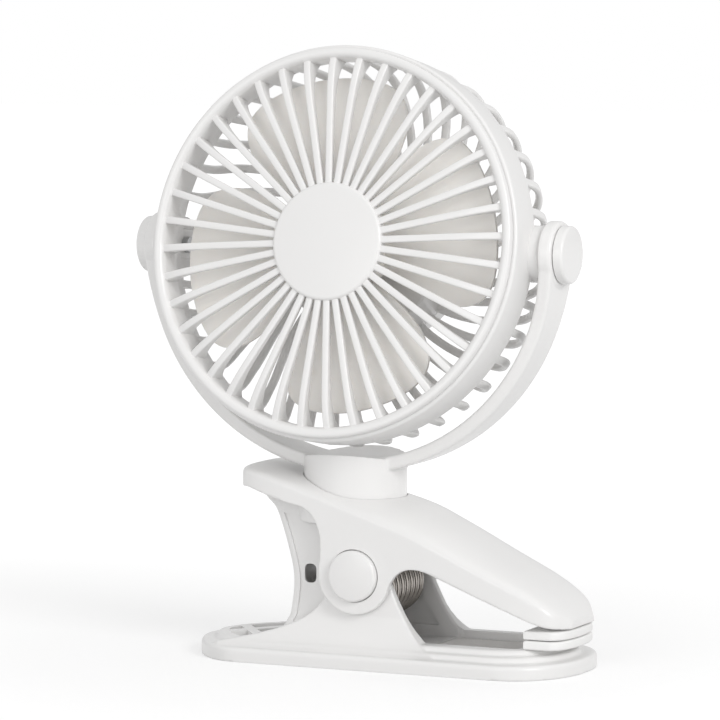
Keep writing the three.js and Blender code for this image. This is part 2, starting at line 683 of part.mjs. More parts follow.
function yoke() {
  const ring = common(
    slabY(yokeFace(), -YOKE_EAR_R - 1, YOKE_EAR_R + 1, 0, 15),
    slabX(yokeSide(), -YOKE_OUT - 1, YOKE_OUT + 1, 0, 6),
  );
  const neckTop = PIVOT_H - YOKE_IN;
  const neckFoot = POCKET_FLOOR + SEAT;
  const neck = turned(
    [
      [0, neckFoot],
      [NECK_R - 0.6, neckFoot],
      [NECK_R, neckFoot + 0.6],
      [NECK_R, neckTop - 0.2],
      [NECK_R - 1.2, neckTop + 0.9],
      [0, neckTop + 0.9],
    ],
    "z",
    40,
  );
  const clearance = moved(rod("x", YOKE_IN, -NECK_R - 2, NECK_R + 2, 60), 0, 0, PIVOT_H);
  const spigotFoot = POCKET_FLOOR - POCKET_BASE - SEAT;
  const spigot = rod("z", SPIGOT_R, spigotFoot, neckFoot + 1);
  const half = NECK_R + 2;
  const sweepRoom = common(clearance, block(-half, half, -half, half, neckTop - 4, PIVOT_H));
  const screwHole = rod("z", 1.5 + SEAT, spigotFoot - 1, spigotFoot + 10, 20);
  const ears = [-1, 1].map((sign) => {
    const sink = sign * (YOKE_OUT - SCREW_HEAD_H - SEAT);
    const out = sign * (YOKE_OUT + 1);
    const seat = sign * YOKE_IN;
    return join(
      rod("x", BOSS_R + SWING, Math.min(seat, seat - sign * 3), Math.max(seat, seat - sign * 3), 32),
      rod("x", SCREW_HEAD_R + SEAT, Math.min(sink, out), Math.max(sink, out), 20),
      rod("x", SHOULDER_R + SEAT, Math.min(sign * (YOKE_IN - 1), out), Math.max(sign * (YOKE_IN - 1), out), 16),
    );
  });
  return cut(
    join(moved(ring, 0, 0, PIVOT_H), cut(neck, sweepRoom), spigot),
    screwHole,
    ...ears.map((ear) => moved(ear, 0, 0, PIVOT_H)),
  );
}

function swivelScrew() {
  const washerTop = POCKET_FLOOR - POCKET_BASE - 2 * SEAT;
  const headTop = washerTop - 1 - SEAT;
  return join(rod("z", 1.5, headTop - 1, washerTop + 9, 20), rod("z", 3.4, headTop - 2, headTop, 24));
}

function swivelWasher() {
  const top = POCKET_FLOOR - POCKET_BASE - 2 * SEAT;
  return cut(rod("z", SPIGOT_R + 3, top - 1, top), rod("z", 1.5 + SEAT, top - 2, top + 1, 20));
}

function pivotScrew(sign) {
  const tip = sign * (BAND_R - 4);
  const headFoot = sign * (YOKE_OUT - SCREW_HEAD_H);
  const headTop = sign * (YOKE_OUT - 0.05);
  const shank = rod("x", SHOULDER_R, Math.min(tip, headTop), Math.max(tip, headTop), 12);
  return join(shank, rod("x", SCREW_HEAD_R, Math.min(headFoot, headTop), Math.max(headFoot, headTop), 20));
}

function pivotCap(sign) {
  const from = sign * (YOKE_OUT + SEAT);
  return button("x", CAP_R, from, from + sign * CAP_THICK, 0.8);
}

// ---------------------------------------------------------------- head: front grille
// Stations along a fin, from the disc to the rim: [radius, front edge, back edge].
const FIN_LINE = [
  [DISC_R - 1, RIM_FRONT - 0.8, RIM_FRONT + 1.7],
  [RIM_OPENING - 11, RIM_FRONT - 0.6, RIM_FRONT + 3],
  [RIM_OPENING - 0.7, RIM_FRONT + 1.3, RIM_FRONT + 10.6],
];

// A fin has a crowned front edge and thins towards the back.
function fin() {
  const wide = FIN_THICK / 2;
  const thin = wide * 0.7;
  const crown = 0.5;
  const rings = FIN_LINE.map(([r, front, back]) =>
    [
      [-wide, front + crown],
      [0, front],
      [wide, front + crown],
      [thin, back],
      [-thin, back],
    ].map(([across, depth]) => new THREE.Vector3(r, depth, across)),
  );
  return lofted(rings);
}

function frontGrille() {
  const flangeBack = BAND_FRONT - SEAT;
  const rim = turned(
    [
      [SKIRT_OUT - SKIRT_WALL, flangeBack + SKIRT_DEPTH],
      [SKIRT_OUT, flangeBack + SKIRT_DEPTH],
      [SKIRT_OUT, flangeBack],
      [RIM_R, flangeBack],
      [RIM_R, RIM_FRONT + 0.9],
      [RIM_R - 0.9, RIM_FRONT],
      [RIM_OPENING, RIM_FRONT],
    ],
    "y",
    2 * FINS,
  );
  const disc = turned(
    [
      [0, DISC_FRONT],
      [DISC_R - 1, DISC_FRONT],
      [DISC_R - 0.25, DISC_FRONT + 0.35],
      [DISC_R, DISC_FRONT + 1.2],
      [DISC_R, DISC_FRONT + 4],
      [DISC_R - 1.8, DISC_FRONT + 4],
      [DISC_R - 1.8, DISC_FRONT + 2],
      [0, DISC_FRONT + 2],
    ],
    "y",
    FINS,
  );
  const halfStep = 180 / FINS;
  const blank = fin();
  const fins = Array.from({ length: FINS }, (_, k) => spun(blank, -2 * halfStep * k));
  return spun(join(spun(rim, halfStep / 2), spun(disc, halfStep), ...fins), -FIN_PHASE);
}

// ---------------------------------------------------------------- head: rear cage
// A rib runs back from the band, bends inwards and swirls to the motor cup: [radius, depth, share of the swirl].
const RIB_LINE = [
  [BAND_R - 1.2, BAND_BACK - 0.6, 0],
  [BAND_R - 1.5, 8, 0.04],
  [BAND_R - 5.5, 15.6, 0.2],
  [BAND_R - 14, CAGE_BACK, 0.42],
  [CUP_R - 0.8, CAGE_BACK, 1],
];

function cageRib() {
  const line = [];
  const across = [];
  for (const [r, depth, share] of RIB_LINE) {
    const angle = -radians(RIB_SWIRL * share);
    line.push(new THREE.Vector3(r * Math.cos(angle), depth, r * Math.sin(angle)));
    across.push(new THREE.Vector3(-Math.sin(angle), 0, Math.cos(angle)));
  }
  return swept(line, across, RIB_WIDTH * 1.25, RIB_DEEP * 1.25, 4);
}

function rearCage() {
  const bandIn = BAND_R - BAND_WALL;
  const band = turned(
    [
      [bandIn, BAND_FRONT],
      [BAND_R - 0.9, BAND_FRONT],
      [BAND_R, BAND_FRONT + 0.9],
      [BAND_R, BAND_BACK],
      [bandIn, BAND_BACK],
    ],
    "y",
    2 * RIBS,
  );
  const rib = cageRib();
  const ribs = Array.from({ length: RIBS }, (_, k) => spun(rib, (360 / RIBS) * k));
  const floorBack = CUP_FRONT + CUP_WALL;
  const cup = turned(
    [
      [MOTOR_NOSE_R + SEAT, CUP_FRONT],
      [CUP_R, CUP_FRONT],
      [CUP_R, CUP_BACK],
      [CUP_R - CUP_WALL, CUP_BACK],
      [CUP_R - CUP_WALL, floorBack],
      [MOTOR_NOSE_R + SEAT, floorBack],
    ],
    "y",
    RIBS,
  );
  const bossFace = YOKE_IN - SWING;
  const bosses = [-1, 1].map((sign) => {
    const root = sign * (bandIn + 0.6);
    return rod("x", BOSS_R, Math.min(root, sign * bossFace), Math.max(root, sign * bossFace), 32);
  });
  const boreDeep = BAND_R - 5;
  const bores = [-1, 1].map((sign) => {
    const from = sign * boreDeep;
    const to = sign * (bossFace + 1);
    return rod("x", SHOULDER_R + SEAT, Math.min(from, to), Math.max(from, to), 16);
  });
  const keepInside = rod("y", bandIn, BAND_FRONT - 2, BAND_BACK + 0.01, 80);
  const bossRoot = cut(join(...bosses), keepInside);
  const motorHoles = [-1, 1].map((sign) =>
    moved(rod("y", 1.1 + SEAT, CUP_FRONT - 1, floorBack + 1, 8), sign * MOTOR_SCREW_OUT, 0, 0),
  );
  const posts = coverPosts(floorBack - 0.5, CUP_BACK - SEAT, 2.6);
  const postHoles = coverPosts(CUP_BACK - 7, CUP_BACK + 1, 1 + SEAT);
  const cage = spun(join(spun(band, 90 / RIBS), cup, ...ribs), -FIN_PHASE);
  return cut(join(cage, bossRoot, ...posts), ...bores, ...motorHoles, ...postHoles);
}

// Two upright rods inside the cup, left and right, where the rear cover's screws go.
const COVER_POST_OUT = CUP_R - CUP_WALL - 2.2;
const BOARD_R = COVER_POST_OUT - COVER_POST_R - 2 * SEAT; // the board fits between the cover's posts

function coverPosts(from, to, radius) {
  return [-1, 1].map((sign) => moved(rod("y", radius, from, to, 10), sign * COVER_POST_OUT, 0, 0));
}

// ---------------------------------------------------------------- head: what closes and fills the cup
function rearCover() {
  const front = CUP_BACK + SEAT;
  const inside = COVER_BACK - CUP_WALL;
  const shell = turned(
    [
      [CUP_R - CUP_WALL, front],
      [CUP_R, front],
      [CUP_R, COVER_BACK - 4],
      [CUP_R - 3.6, COVER_BACK],
      [0, COVER_BACK],
      [0, inside],
      [CUP_R - 5, inside],
      [CUP_R - CUP_WALL, inside - 4],
    ],
    "y",
    28,
  );
  const posts = common(join(...coverPosts(front, inside + 0.5, COVER_POST_R)), rod("y", CUP_R - 0.5, front, COVER_BACK - 1, 28));
  const holes = coverPosts(front - 1, COVER_BACK + 1, 1 + SEAT);
  const sinks = coverPosts(COVER_BACK - 5, COVER_BACK + 1, 2 + SEAT);
  const buttonHole = moved(rod("y", BUTTON_R + SEAT, inside - 1, COVER_BACK + 1), 0, 0, BUTTON_UP);
  const lightHole = moved(rod("y", LIGHT_R + SEAT, inside - 1, COVER_BACK + 1, 16), LIGHT_OUT, 0, BUTTON_UP);
  const [wide, deep] = SOCKET;
  const socketHole = slabZ(
    roundedRect(0, SOCKET_AT, wide + 2 * SEAT, deep + 2 * SEAT, 1.2),
    -CUP_R - 1,
    -CUP_R + 6,
    0,
    2,
  );
  return cut(join(shell, ...[posts]), ...holes, ...sinks, buttonHole, lightHole, socketHole);
}

const BOARD_FRONT = CUP_BACK + 4.4;
const SOCKET_AT = BOARD_FRONT - SEAT - SOCKET[1] / 2; // depth of the inlet's middle

function motorCan() {
  const front = CUP_FRONT + CUP_WALL + SEAT;
  const body = turned(
    [
      [0, front - MOTOR_NOSE],
      [MOTOR_NOSE_R, front - MOTOR_NOSE],
      [MOTOR_NOSE_R, front],
      [MOTOR_R, front],
      [MOTOR_R, front + MOTOR_LONG],
      [0, front + MOTOR_LONG],
    ],
    "y",
    24,
  );
  const bore = rod("y", SHAFT_R + SEAT, front - 5, front + 6, 12);
  const holes = [-1, 1].map((sign) =>
    moved(rod("y", 1.1 + SEAT, front - 1, front + 4, 8), sign * MOTOR_SCREW_OUT, 0, 0),
  );
  return cut(body, bore, ...holes);
}

function motorEndCap() {
  const front = CUP_FRONT + CUP_WALL + SEAT + MOTOR_LONG + 0.05;
  return button("y", MOTOR_R - 1, front, front + 1.6, 0.5, 24);
}

function motorScrew(sign) {
  const floorBack = CUP_FRONT + CUP_WALL;
  const seat = CUP_FRONT - 0.05;
  const shank = rod("y", 1.1, seat - 1, floorBack + 3, 8);
  return moved(join(shank, rod("y", 2.1, seat - 1.4, seat, 12)), sign * MOTOR_SCREW_OUT, 0, 0);
}

function coverScrew(sign) {
  const sinkFloor = COVER_BACK - 5;
  const shank = rod("y", 1, CUP_BACK - 6, sinkFloor + 1, 8);
  return moved(join(shank, rod("y", 2, sinkFloor + 0.05, sinkFloor + 1.6, 12)), sign * COVER_POST_OUT, 0, 0);
}

function batteryCell() {
  const [wide, deep, high] = BATTERY;
  const front = CUP_FRONT + CUP_WALL + MOTOR_LONG + 1.6 + 3 * SEAT;
  const outline = roundedRect(0, 0, wide, high, 3);
  return slabY(outline, front, front + deep, 0, 3);
}

function controlBoard() {
  return rod("y", BOARD_R, BOARD_FRONT, BOARD_FRONT + BOARD_THICK, 32);
}

const BOARD_BACK = BOARD_FRONT + BOARD_THICK;

function tactSwitch() {
  const body = block(-3, 3, BOARD_BACK + 0.05, BOARD_BACK + SWITCH_TALL - 0.3, BUTTON_UP - 3, BUTTON_UP + 3);
  return join(body, moved(rod("y", 1.6, BOARD_BACK + 0.5, BOARD_BACK + SWITCH_TALL, 12), 0, 0, BUTTON_UP));
}

function usbSocket() {
  const [wide, deep, long] = SOCKET;
  const foot = -CUP_R + 0.5;
  const shell = slabZ(roundedRect(0, SOCKET_AT, wide, deep, 1.1), foot, foot + long, 0, 2);
  const mouth = slabZ(roundedRect(0, SOCKET_AT, wide - 0.8, deep - 0.8, 0.8), foot - 1, foot + 5.5, 0, 2);
  const tongue = block(-3.2, 3.2, SOCKET_AT - 0.35, SOCKET_AT + 0.35, foot + 1, foot + 6);
  return join(cut(shell, mouth), tongue);
}

function powerButton() {
  const stemFront = BOARD_BACK + SWITCH_TALL + BUTTON_TRAVEL + BUTTON_GAP;
  const inside = COVER_BACK - CUP_WALL;
  const top = button("y", BUTTON_R, inside + 0.2, COVER_BACK + 1, 0.6, 24);
  const flange = rod("y", BUTTON_R + 1.2, inside - 1.1, inside - SEAT, 16);
  const neck = rod("y", BUTTON_R - 0.4, inside - 1, inside + 0.4, 16);
  const stem = rod("y", 1.6, stemFront, inside, 12);
  return moved(join(top, flange, neck, stem), 0, 0, BUTTON_UP);
}

function chargeLight() {
  const inside = COVER_BACK - CUP_WALL;
  const lens = button("y", LIGHT_R, inside - 0.5, COVER_BACK + 0.3, 0.4, 12);
  const foot = rod("y", LIGHT_R + 0.5, BOARD_BACK + 0.05, inside - 0.4, 12);
  return moved(join(lens, foot), LIGHT_OUT, 0, BUTTON_UP);
}

// ---------------------------------------------------------------- impeller
// One broad petal: chord by chord, a thin section from the hub to the tip, with round corners at the tip.
function blade() {
  const chords = 8;
  const spans = [0, 0.5, 1];
  const root = HUB_R - 2;
  const rings = [];
  for (let i = 0; i < chords; i++) {
    const v = (2 * i) / (chords - 1) - 1;
    const edge = Math.abs(v);
    const tip = BLADE_TIP_R - (BLADE_TIP_R - HUB_R) * 0.34 * edge ** 7;
    const face = (side) =>
      spans.map((u) => {
        const r = root + (tip - root) * u;
        const spread = 0.88 + 0.12 * Math.sin(Math.PI * (0.25 + 0.55 * u));
        const angle = radians(BLADE_HALF * v * spread);
        const middle = (BLADE_FRONT + BLADE_BACK) / 2;
        const rise = ((BLADE_BACK - BLADE_FRONT) / 2) * (1 - 0.25 * u);
        const camber = 1.6 * (1 - v * v) * u;
        const thick = (BLADE_THICK / 2) * (1 - 0.35 * edge ** 6);
        const depth = middle + rise * v - camber + side * thick;
        return new THREE.Vector3(r * Math.cos(angle), depth, -r * Math.sin(angle));
      });
    rings.push([...face(-1), ...face(1).reverse()]);
  }
  return lofted(rings);
}

function impeller() {
  const hub = turned(
    [
      [0, HUB_FRONT],
      [HUB_R - 3, HUB_FRONT],
      [HUB_R - 0.8, HUB_FRONT + 1],
      [HUB_R, HUB_FRONT + 3],
      [HUB_R, HUB_BACK],
      [HUB_R - 1.8, HUB_BACK],
      [HUB_R - 1.8, HUB_FRONT + 4],
      [3.4, HUB_FRONT + 4],
      [3.4, HUB_BACK - 2],
      [0, HUB_BACK - 2],
    ],
    "y",
    24,
  );
  const petal = blade();
  const petals = Array.from({ length: BLADES }, (_, k) => spun(petal, (360 / BLADES) * k - BLADE_PHASE));
  const hollow = rod("y", HUB_R - 1.8, HUB_FRONT + 4, 0, 24);
  const bore = rod("y", SHAFT_R + SEAT, HUB_FRONT + 2, 0, 12);
  return cut(join(hub, ...petals.map((p) => cut(p, hollow))), bore);
}

function motorShaft() {
  return rod("y", SHAFT_R, HUB_FRONT + 2 + SEAT, CUP_FRONT + CUP_WALL + 5, 12);
}

// ---------------------------------------------------------------- the assembly
piece(fan, "lower_arm", lowerArm(), WHITE);
piece(fan, "upper_arm", upperArm(), WHITE);
piece(fan, "lower_pad", slabZ(padOutline(), LOWER_PAD_FOOT, LOWER_PAD_FOOT + PAD_THICK, 0.5, 6), SOFT_WHITE);
piece(fan, "upper_pad", slabZ(padOutline(), PAD_TOP - PAD_THICK, PAD_TOP, 0.5, 6), SOFT_WHITE);
const matMiddle = (MAT_BACK + MAT_FRONT) / 2;
const matOutline = roundedRect(matMiddle, 0, MAT_FRONT - MAT_BACK, 2 * MAT_HALF, 3);
piece(fan, "grip_mat", slabZ(matOutline, MAT_FLOOR, MAT_FLOOR + MAT_THICK, 0, 4), MAT_GREY);
const pinHalf = ARM_HALF - PIN_CAP_SUNK - 2 * SEAT;
piece(fan, "hinge_pin", moved(rod("y", PIN_R, -pinHalf, pinHalf), PIN_X, 0, PIN_Z), STEEL);
for (const [name, sign] of [
  ["pin_cap_front", -1],
  ["pin_cap_rear", 1],
]) {
  const cap = button("y", PIN_CAP_R, sign * (ARM_HALF - PIN_CAP_SUNK), sign * (ARM_HALF + PIN_CAP_PROUD), 0.7);
  piece(fan, name, moved(cap, PIN_X, 0, PIN_Z), WHITE);
}
piece(fan, "torsion_spring", torsionSpring(), STEEL);

piece(fan, "yoke", yoke(), WHITE);
piece(fan, "swivel_washer", swivelWasher(), ZINC);
piece(fan, "swivel_screw", swivelScrew(), ZINC);
for (const [name, sign] of [
  ["left", -1],
  ["right", 1],
]) {
  piece(fan, `pivot_cap_${name}`, moved(pivotCap(sign), 0, 0, PIVOT_H), WHITE);
  piece(head, `pivot_screw_${name}`, pivotScrew(sign), ZINC);
}

piece(head, "front_grille", frontGrille(), WHITE);
piece(head, "rear_cage", rearCage(), WHITE);
piece(head, "rear_cover", rearCover(), WHITE);
piece(head, "motor_can", motorCan(), ZINC);
piece(head, "motor_end_cap", motorEndCap(), BLACK);
for (const [number, sign] of [
  [1, -1],
  [2, 1],
]) {
  piece(head, `motor_screw_${number}`, motorScrew(sign), ZINC);
  piece(head, `cover_screw_${number}`, coverScrew(sign), ZINC);
}
piece(head, "battery_cell", batteryCell(), CELL_FILM);
piece(head, "control_board", controlBoard(), BOARD_GREEN);
piece(head, "tact_switch", tactSwitch(), BLACK);
piece(head, "usb_socket", usbSocket(), ZINC);
piece(head, "power_button", powerButton(), WHITE);
piece(head, "charge_light", chargeLight(), LENS);
piece(head, "impeller", impeller(), MILKY);
piece(head, "motor_shaft", motorShaft(), STEEL);

export default fan;
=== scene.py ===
"""Looks for the clip fan: a caged head in a yoke, on a spring clip that stands on its broad lower arm.

Every piece is drawn in millimetres in the frame's own axes: +Z up, +X towards the jaw tip, -Y to the front.
"""

import json
import math

import bmesh
import bpy
from mathutils import Matrix, Vector

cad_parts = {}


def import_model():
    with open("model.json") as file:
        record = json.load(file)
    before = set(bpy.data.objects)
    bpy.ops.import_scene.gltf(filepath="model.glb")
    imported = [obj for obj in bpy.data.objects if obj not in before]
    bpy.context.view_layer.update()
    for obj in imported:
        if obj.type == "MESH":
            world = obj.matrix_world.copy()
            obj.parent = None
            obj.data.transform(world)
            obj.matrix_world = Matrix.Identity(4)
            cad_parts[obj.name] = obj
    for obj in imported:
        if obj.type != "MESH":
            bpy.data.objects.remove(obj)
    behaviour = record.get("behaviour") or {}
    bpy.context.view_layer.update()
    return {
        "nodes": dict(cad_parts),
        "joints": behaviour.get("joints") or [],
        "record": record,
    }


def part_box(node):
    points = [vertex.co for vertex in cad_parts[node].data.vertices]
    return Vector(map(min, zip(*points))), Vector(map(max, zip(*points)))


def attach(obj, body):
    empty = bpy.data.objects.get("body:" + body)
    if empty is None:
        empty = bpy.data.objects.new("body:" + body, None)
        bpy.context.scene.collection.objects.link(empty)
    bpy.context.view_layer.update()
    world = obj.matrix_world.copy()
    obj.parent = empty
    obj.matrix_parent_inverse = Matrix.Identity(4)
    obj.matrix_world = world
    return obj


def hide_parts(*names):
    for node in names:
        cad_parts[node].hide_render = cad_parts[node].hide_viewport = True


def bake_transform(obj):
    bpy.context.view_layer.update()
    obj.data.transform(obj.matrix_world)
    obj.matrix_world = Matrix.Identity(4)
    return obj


MM = 0.001
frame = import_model()
joints = {j["name"]: j for j in frame["joints"]}


def middle(node):
    """The middle of a node's box, in millimetres."""
    low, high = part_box(node)
    return (low + high) / 2 / MM


# ---------------------------------------------------------------- places taken from the frame
PIVOT_H = middle("pivot_cap_left").z
PIN = middle("hinge_pin")
AXIS = Vector(joints["fan_spin"]["axis"])
TILT = math.atan2(AXIS.z, AXIS.y)
HEAD = Matrix.Translation((0, 0, PIVOT_H)) @ Matrix.Rotation(TILT, 4, "X")
SEAT = 0.3  # gap between pieces that rest on each other
WALL = 1.8  # wall of the head's mouldings

# ---------------------------------------------------------------- sizes of the head, along the fan's axis
BAND_R = 62.5
BAND_IN = 60.2
BAND_FRONT = -18.1
BAND_BACK = -3
RIM_FRONT = -21
RIM_R = 61.4
RIM_OPENING = 59.2
COLLAR_IN = 57.9  # the rim's collar goes into the band
COLLAR_BACK = -10.9
DISC_FRONT = -22.6
DISC_R = 18.6
DISC_DEEP = 4
DISC_FACE = 2
DISC_SOFT = 1.1
FINS = 40
FIN_PHASE = math.radians(3.3)
FIN_THICK = 2.4
FIN_MID_R = 36
RIB_SWIRL = math.radians(-22.5)
RIB_WIDTH = 2.7
RIB_DEEP = 2.1
CAGE_BACK = 19
CUP_R = 27
CUP_FRONT = 4
CUP_BACK = 20.4
CUP_BORE_R = 3.5
COVER_BACK = 31
COVER_SOFT = 5
COVER_SCREW_OUT = 23
COVER_SCREW_BORE_R = 2.3
BOSS_R = 8.9
BUTTON_UP = 9
BUTTON_R = 4.9
BUTTON_BORE_R = 5.3
BUTTON_FRONT = COVER_BACK - 2.75
LIGHT_OUT = 9
LIGHT_BORE_R = 1.6
INLET_HALF = (4.8, 1.9)
HUB_R = 14
HUB_FRONT = -17.2
HUB_BACK = -2.6
HUB_SOFT = 2.4
HUB_CORE_R = 3.4
BLADES = 4
BLADE_TIP_R = 53
BLADE_HALF = math.radians(40)
BLADE_PHASE = math.radians(102)
BLADE_FRONT = -15.2
BLADE_BACK = -4.6
BLADE_THICK = 1.3
BLADE_ROUND = 0.34  # share of its length that the blade's corners lose
BLADE_DISH = 1.6  # how far the middle of its tip stands forward

# ---------------------------------------------------------------- sizes of the yoke and the clip
YOKE_IN = 66.2
YOKE_OUT = 70.6
YOKE_HALF = 7.7
YOKE_EAR_R = 10.5
YOKE_FLARE = 24  # height over which the ring widens to its ears
PIVOT_BORE_R = 2.9
PIVOT_SINK_R = 5.3
PIVOT_SINK = 2.1
PIVOT_CAP_R = 9.05
PIVOT_CAP_HIGH = 3.1
NECK_R = 16.4
POCKET_FLOOR = 47.2
POCKET_WALL = 2.9
POCKET_UNDER = POCKET_FLOOR - 3
SWIVEL_BORE_R = 6.3
SHELL_TOP = 70  # above the crown of the arm, where its shells are closed before they are cut
ABOVE = 80  # where a tool that cuts down into the clip starts
ARM_HALF = 20
ARM_WALL = 2.4
ARM_HOLLOW = (-30.8, 60)
EAR_R = 12.3
PIN_BORE_R = 3.3
PIN_CAP_R = 8.1
PIN_CAP_HIGH = 2
PIN_SINK_R = 8.4
PIN_SINK = 1.4
PLATE_BACK = -52.5
PLATE_FRONT = 79.5
PLATE_HALF = 28
PLATE_EDGE = 4.6
PLATE_SOFT = 1.2
DECK_TOP = 6.4
DECK_INSET = 4.6
BED_TOP = 8.2
BED_INSET = 7.5
BED_BACK = 30
LAYER_SOFT = 1.6
WEB_HALF = 1.7
CHEEK_OUT = 17.2
CHEEK_IN = 14.2
CHEEK_R = 10.6
COIL_R = 9.6
COIL_TURNS = 6
COIL_HALF = 11.1
COIL_Z = 24.2  # the coil hangs on the pin, so its middle is lower
WIRE_R = 1
MAT_FLOOR = 4.1
MAT_TURN = 3
JAW_FLOOR = 5.8
JAW_FRONT = 31
PIT = (-22.5, 2, 2)  # back, front and floor of the pit under the skirt
SKIRT_FOOT = 9.5
SKIRT_FRONT = -3.6
SKIRT_HALF = 13.8
SKIRT_WALL = 1.4
SKIRT_TURN = 2.6
PANEL_TOP = 46.6
PANEL_RIM = 3
PANEL_DEEP = 0.6
PAD_BACK = 64.2
PAD_FRONT = 78
PAD_HALF = 15.5
PAD_SOFT = 0.7
BUMP_PITCH = 1.25
BUMP_HIGH = 0.35


# ---------------------------------------------------------------- mesh tools
QUARTER = [math.pi / 2 * s / 6 for s in range(7)]  # angles of a quarter turn


def made(name, points, faces):
    """A closed mesh object from points in millimetres."""
    mesh = bpy.data.meshes.new(name)
    mesh.from_pydata([Vector(p) * MM for p in points], [], faces)
    work = bmesh.new()
    work.from_mesh(mesh)
    bmesh.ops.remove_doubles(work, verts=work.verts, dist=1e-6)
    bmesh.ops.dissolve_degenerate(work, edges=work.edges, dist=1e-7)
    bmesh.ops.recalc_face_normals(work, faces=work.faces)
    work.to_mesh(mesh)
    work.free()
    obj = bpy.data.objects.new(name, mesh)
    bpy.context.scene.collection.objects.link(obj)
    return obj


def skinned(name, rings, wrap=False):
    """Skins closed rings of equal length. wrap joins the last to the first; otherwise the ends are shut."""
    count = len(rings[0])
    points = [p for ring in rings for p in ring]
    faces = []
    spans = len(rings) if wrap else len(rings) - 1
    for i in range(spans):
        a, b = i * count, (i + 1) % len(rings) * count
        for j in range(count):
            k = (j + 1) % count
            faces.append((a + j, a + k, b + k, b + j))
    if not wrap:
        faces.append(tuple(range(count - 1, -1, -1)))
        faces.append(tuple(range(len(points) - count, len(points))))
    return made(name, points, faces)


def rounded(corners, steps=5):
    """A closed outline from (x, y, radius) corners, each corner drawn as a curve."""
    outline = []
    for i, (x, y, radius) in enumerate(corners):
        here = Vector((x, y))
        before = Vector(corners[i - 1][:2]) - here
        after = Vector(corners[(i + 1) % len(corners)][:2]) - here
        if radius <= 0:
            outline.append(here)
            continue
        reach = min(radius, before.length / 2, after.length / 2)
        start = here + before.normalized() * reach
        end = here + after.normalized() * reach
        for s in range(steps + 1):
            t = s / steps
            outline.append(start * (1 - t) ** 2 + here * 2 * t * (1 - t) + end * t * t)
    return outline


def window(x0, x1, y0, y1, radius):
    """A rectangle with rounded corners."""
    return rounded([(x0, y0, radius), (x1, y0, radius), (x1, y1, radius), (x0, y1, radius)])


def through(points, steps):
    """Points on a smooth curve through the given ones."""
    points = [Vector(p) for p in points]
    padded = [points[0] * 2 - points[1], *points, points[-1] * 2 - points[-2]]
    curve = []
    for a, b, c, d in zip(padded, padded[1:], padded[2:], padded[3:]):
        for s in range(steps):
            t = s / steps
            pull = b * 2 + (c - a) * t + (a * 2 - b * 5 + c * 4 - d) * t * t
            curve.append((pull + (b * 3 - a - c * 3 + d) * t**3) / 2)
    return [*curve, points[-1]]


def bezier(start, first, second, end, steps=16):
    """Points on a cubic curve from start to end."""
    handles = [Vector(p) for p in (start, first, second, end)]
    points = []
    for s in range(steps + 1):
        t = s / steps
        u = 1 - t
        weights = (u**3, 3 * u * u * t, 3 * u * t * t, t**3)
        points.append(sum((p * w for p, w in zip(handles, weights)), Vector((0, 0))))
    return points


def arc(x, y, radius, start, end, steps=32):
    """Points on an arc about (x, y), from one angle in degrees to another."""
    angles = [math.radians(start + (end - start) * s / steps) for s in range(steps + 1)]
    return [Vector((x + radius * math.cos(a), y + radius * math.sin(a))) for a in angles]


def turned(name, profile, axis="y", steps=96):
    """A profile of (radius, along) points turned about an axis."""
    rings = []
    for s in range(steps):
        a = 2 * math.pi * s / steps
        c, d = math.cos(a), math.sin(a)
        spin = {"x": lambda r, h: (h, r * c, r * d), "y": lambda r, h: (r * c, h, r * d)}
        spin["z"] = lambda r, h: (r * c, r * d, h)
        rings.append([spin[axis](r, h) for r, h in profile])
    return skinned(name, rings, wrap=True)


def prism(name, outline, axis, start, end):
    """An outline extruded along an axis: (y, z) points along x, (x, z) along y and (x, y) along z."""
    lift = {
        "x": lambda p, h: (h, p[0], p[1]),
        "y": lambda p, h: (p[0], h, p[1]),
        "z": lambda p, h: (p[0], p[1], h),
    }[axis]
    return skinned(name, [[lift(p, start) for p in outline], [lift(p, end) for p in outline]])


def block(x0, x1, y0, y1, z0, z1):
    return prism("block", [(x0, y0), (x1, y0), (x1, y1), (x0, y1)], "z", z0, z1)


def rod(axis, radius, start, end, at=(0, 0, 0), steps=64):
    """A round bar along an axis through a point."""
    obj = turned("rod", [(0, start), (radius, start), (radius, end), (0, end)], axis, steps)
    obj.data.transform(Matrix.Translation(Vector(at) * MM))
    return obj


def swept(name, path, across, section):
    """Sweeps a section of (wide, deep) points along a path. across has the wide direction at each point."""
    rings = []
    for i, point in enumerate(path):
        forward = (path[min(i + 1, len(path) - 1)] - path[max(i - 1, 0)]).normalized()
        side = forward.cross(across[i]).normalized()
        wide = side.cross(forward)
        rings.append([point + wide * w + side * d for w, d in section])
    return skinned(name, rings)


def baked(obj):
    """Applies the object's modifiers."""
    graph = bpy.context.evaluated_depsgraph_get()
    mesh = bpy.data.meshes.new_from_object(obj.evaluated_get(graph))
    obj.modifiers.clear()
    obj.data = mesh
    return obj


def boolean(body, tool, operation):
    modifier = body.modifiers.new("boolean", "BOOLEAN")
    modifier.operation = operation
    modifier.solver = "MANIFOLD"
    modifier.object = tool
    baked(body)
    bpy.data.objects.remove(tool)
    return body


def cut(body, *tools):
    """Takes each tool away from the body."""
    for tool in tools:
        boolean(body, tool, "DIFFERENCE")
    return body


def common(body, *tools):
    """Keeps what the body shares with each tool."""
    for tool in tools:
        boolean(body, tool, "INTERSECT")
    return body


def joined(name, *parts):
    """Several meshes as one object, overlapping as they are."""
    work = bmesh.new()
    for part in parts:
        work.from_mesh(part.data)
        bpy.data.objects.remove(part)
    mesh = bpy.data.meshes.new(name)
    work.to_mesh(mesh)
    work.free()
    obj = bpy.data.objects.new(name, mesh)
    bpy.context.scene.collection.objects.link(obj)
    return obj


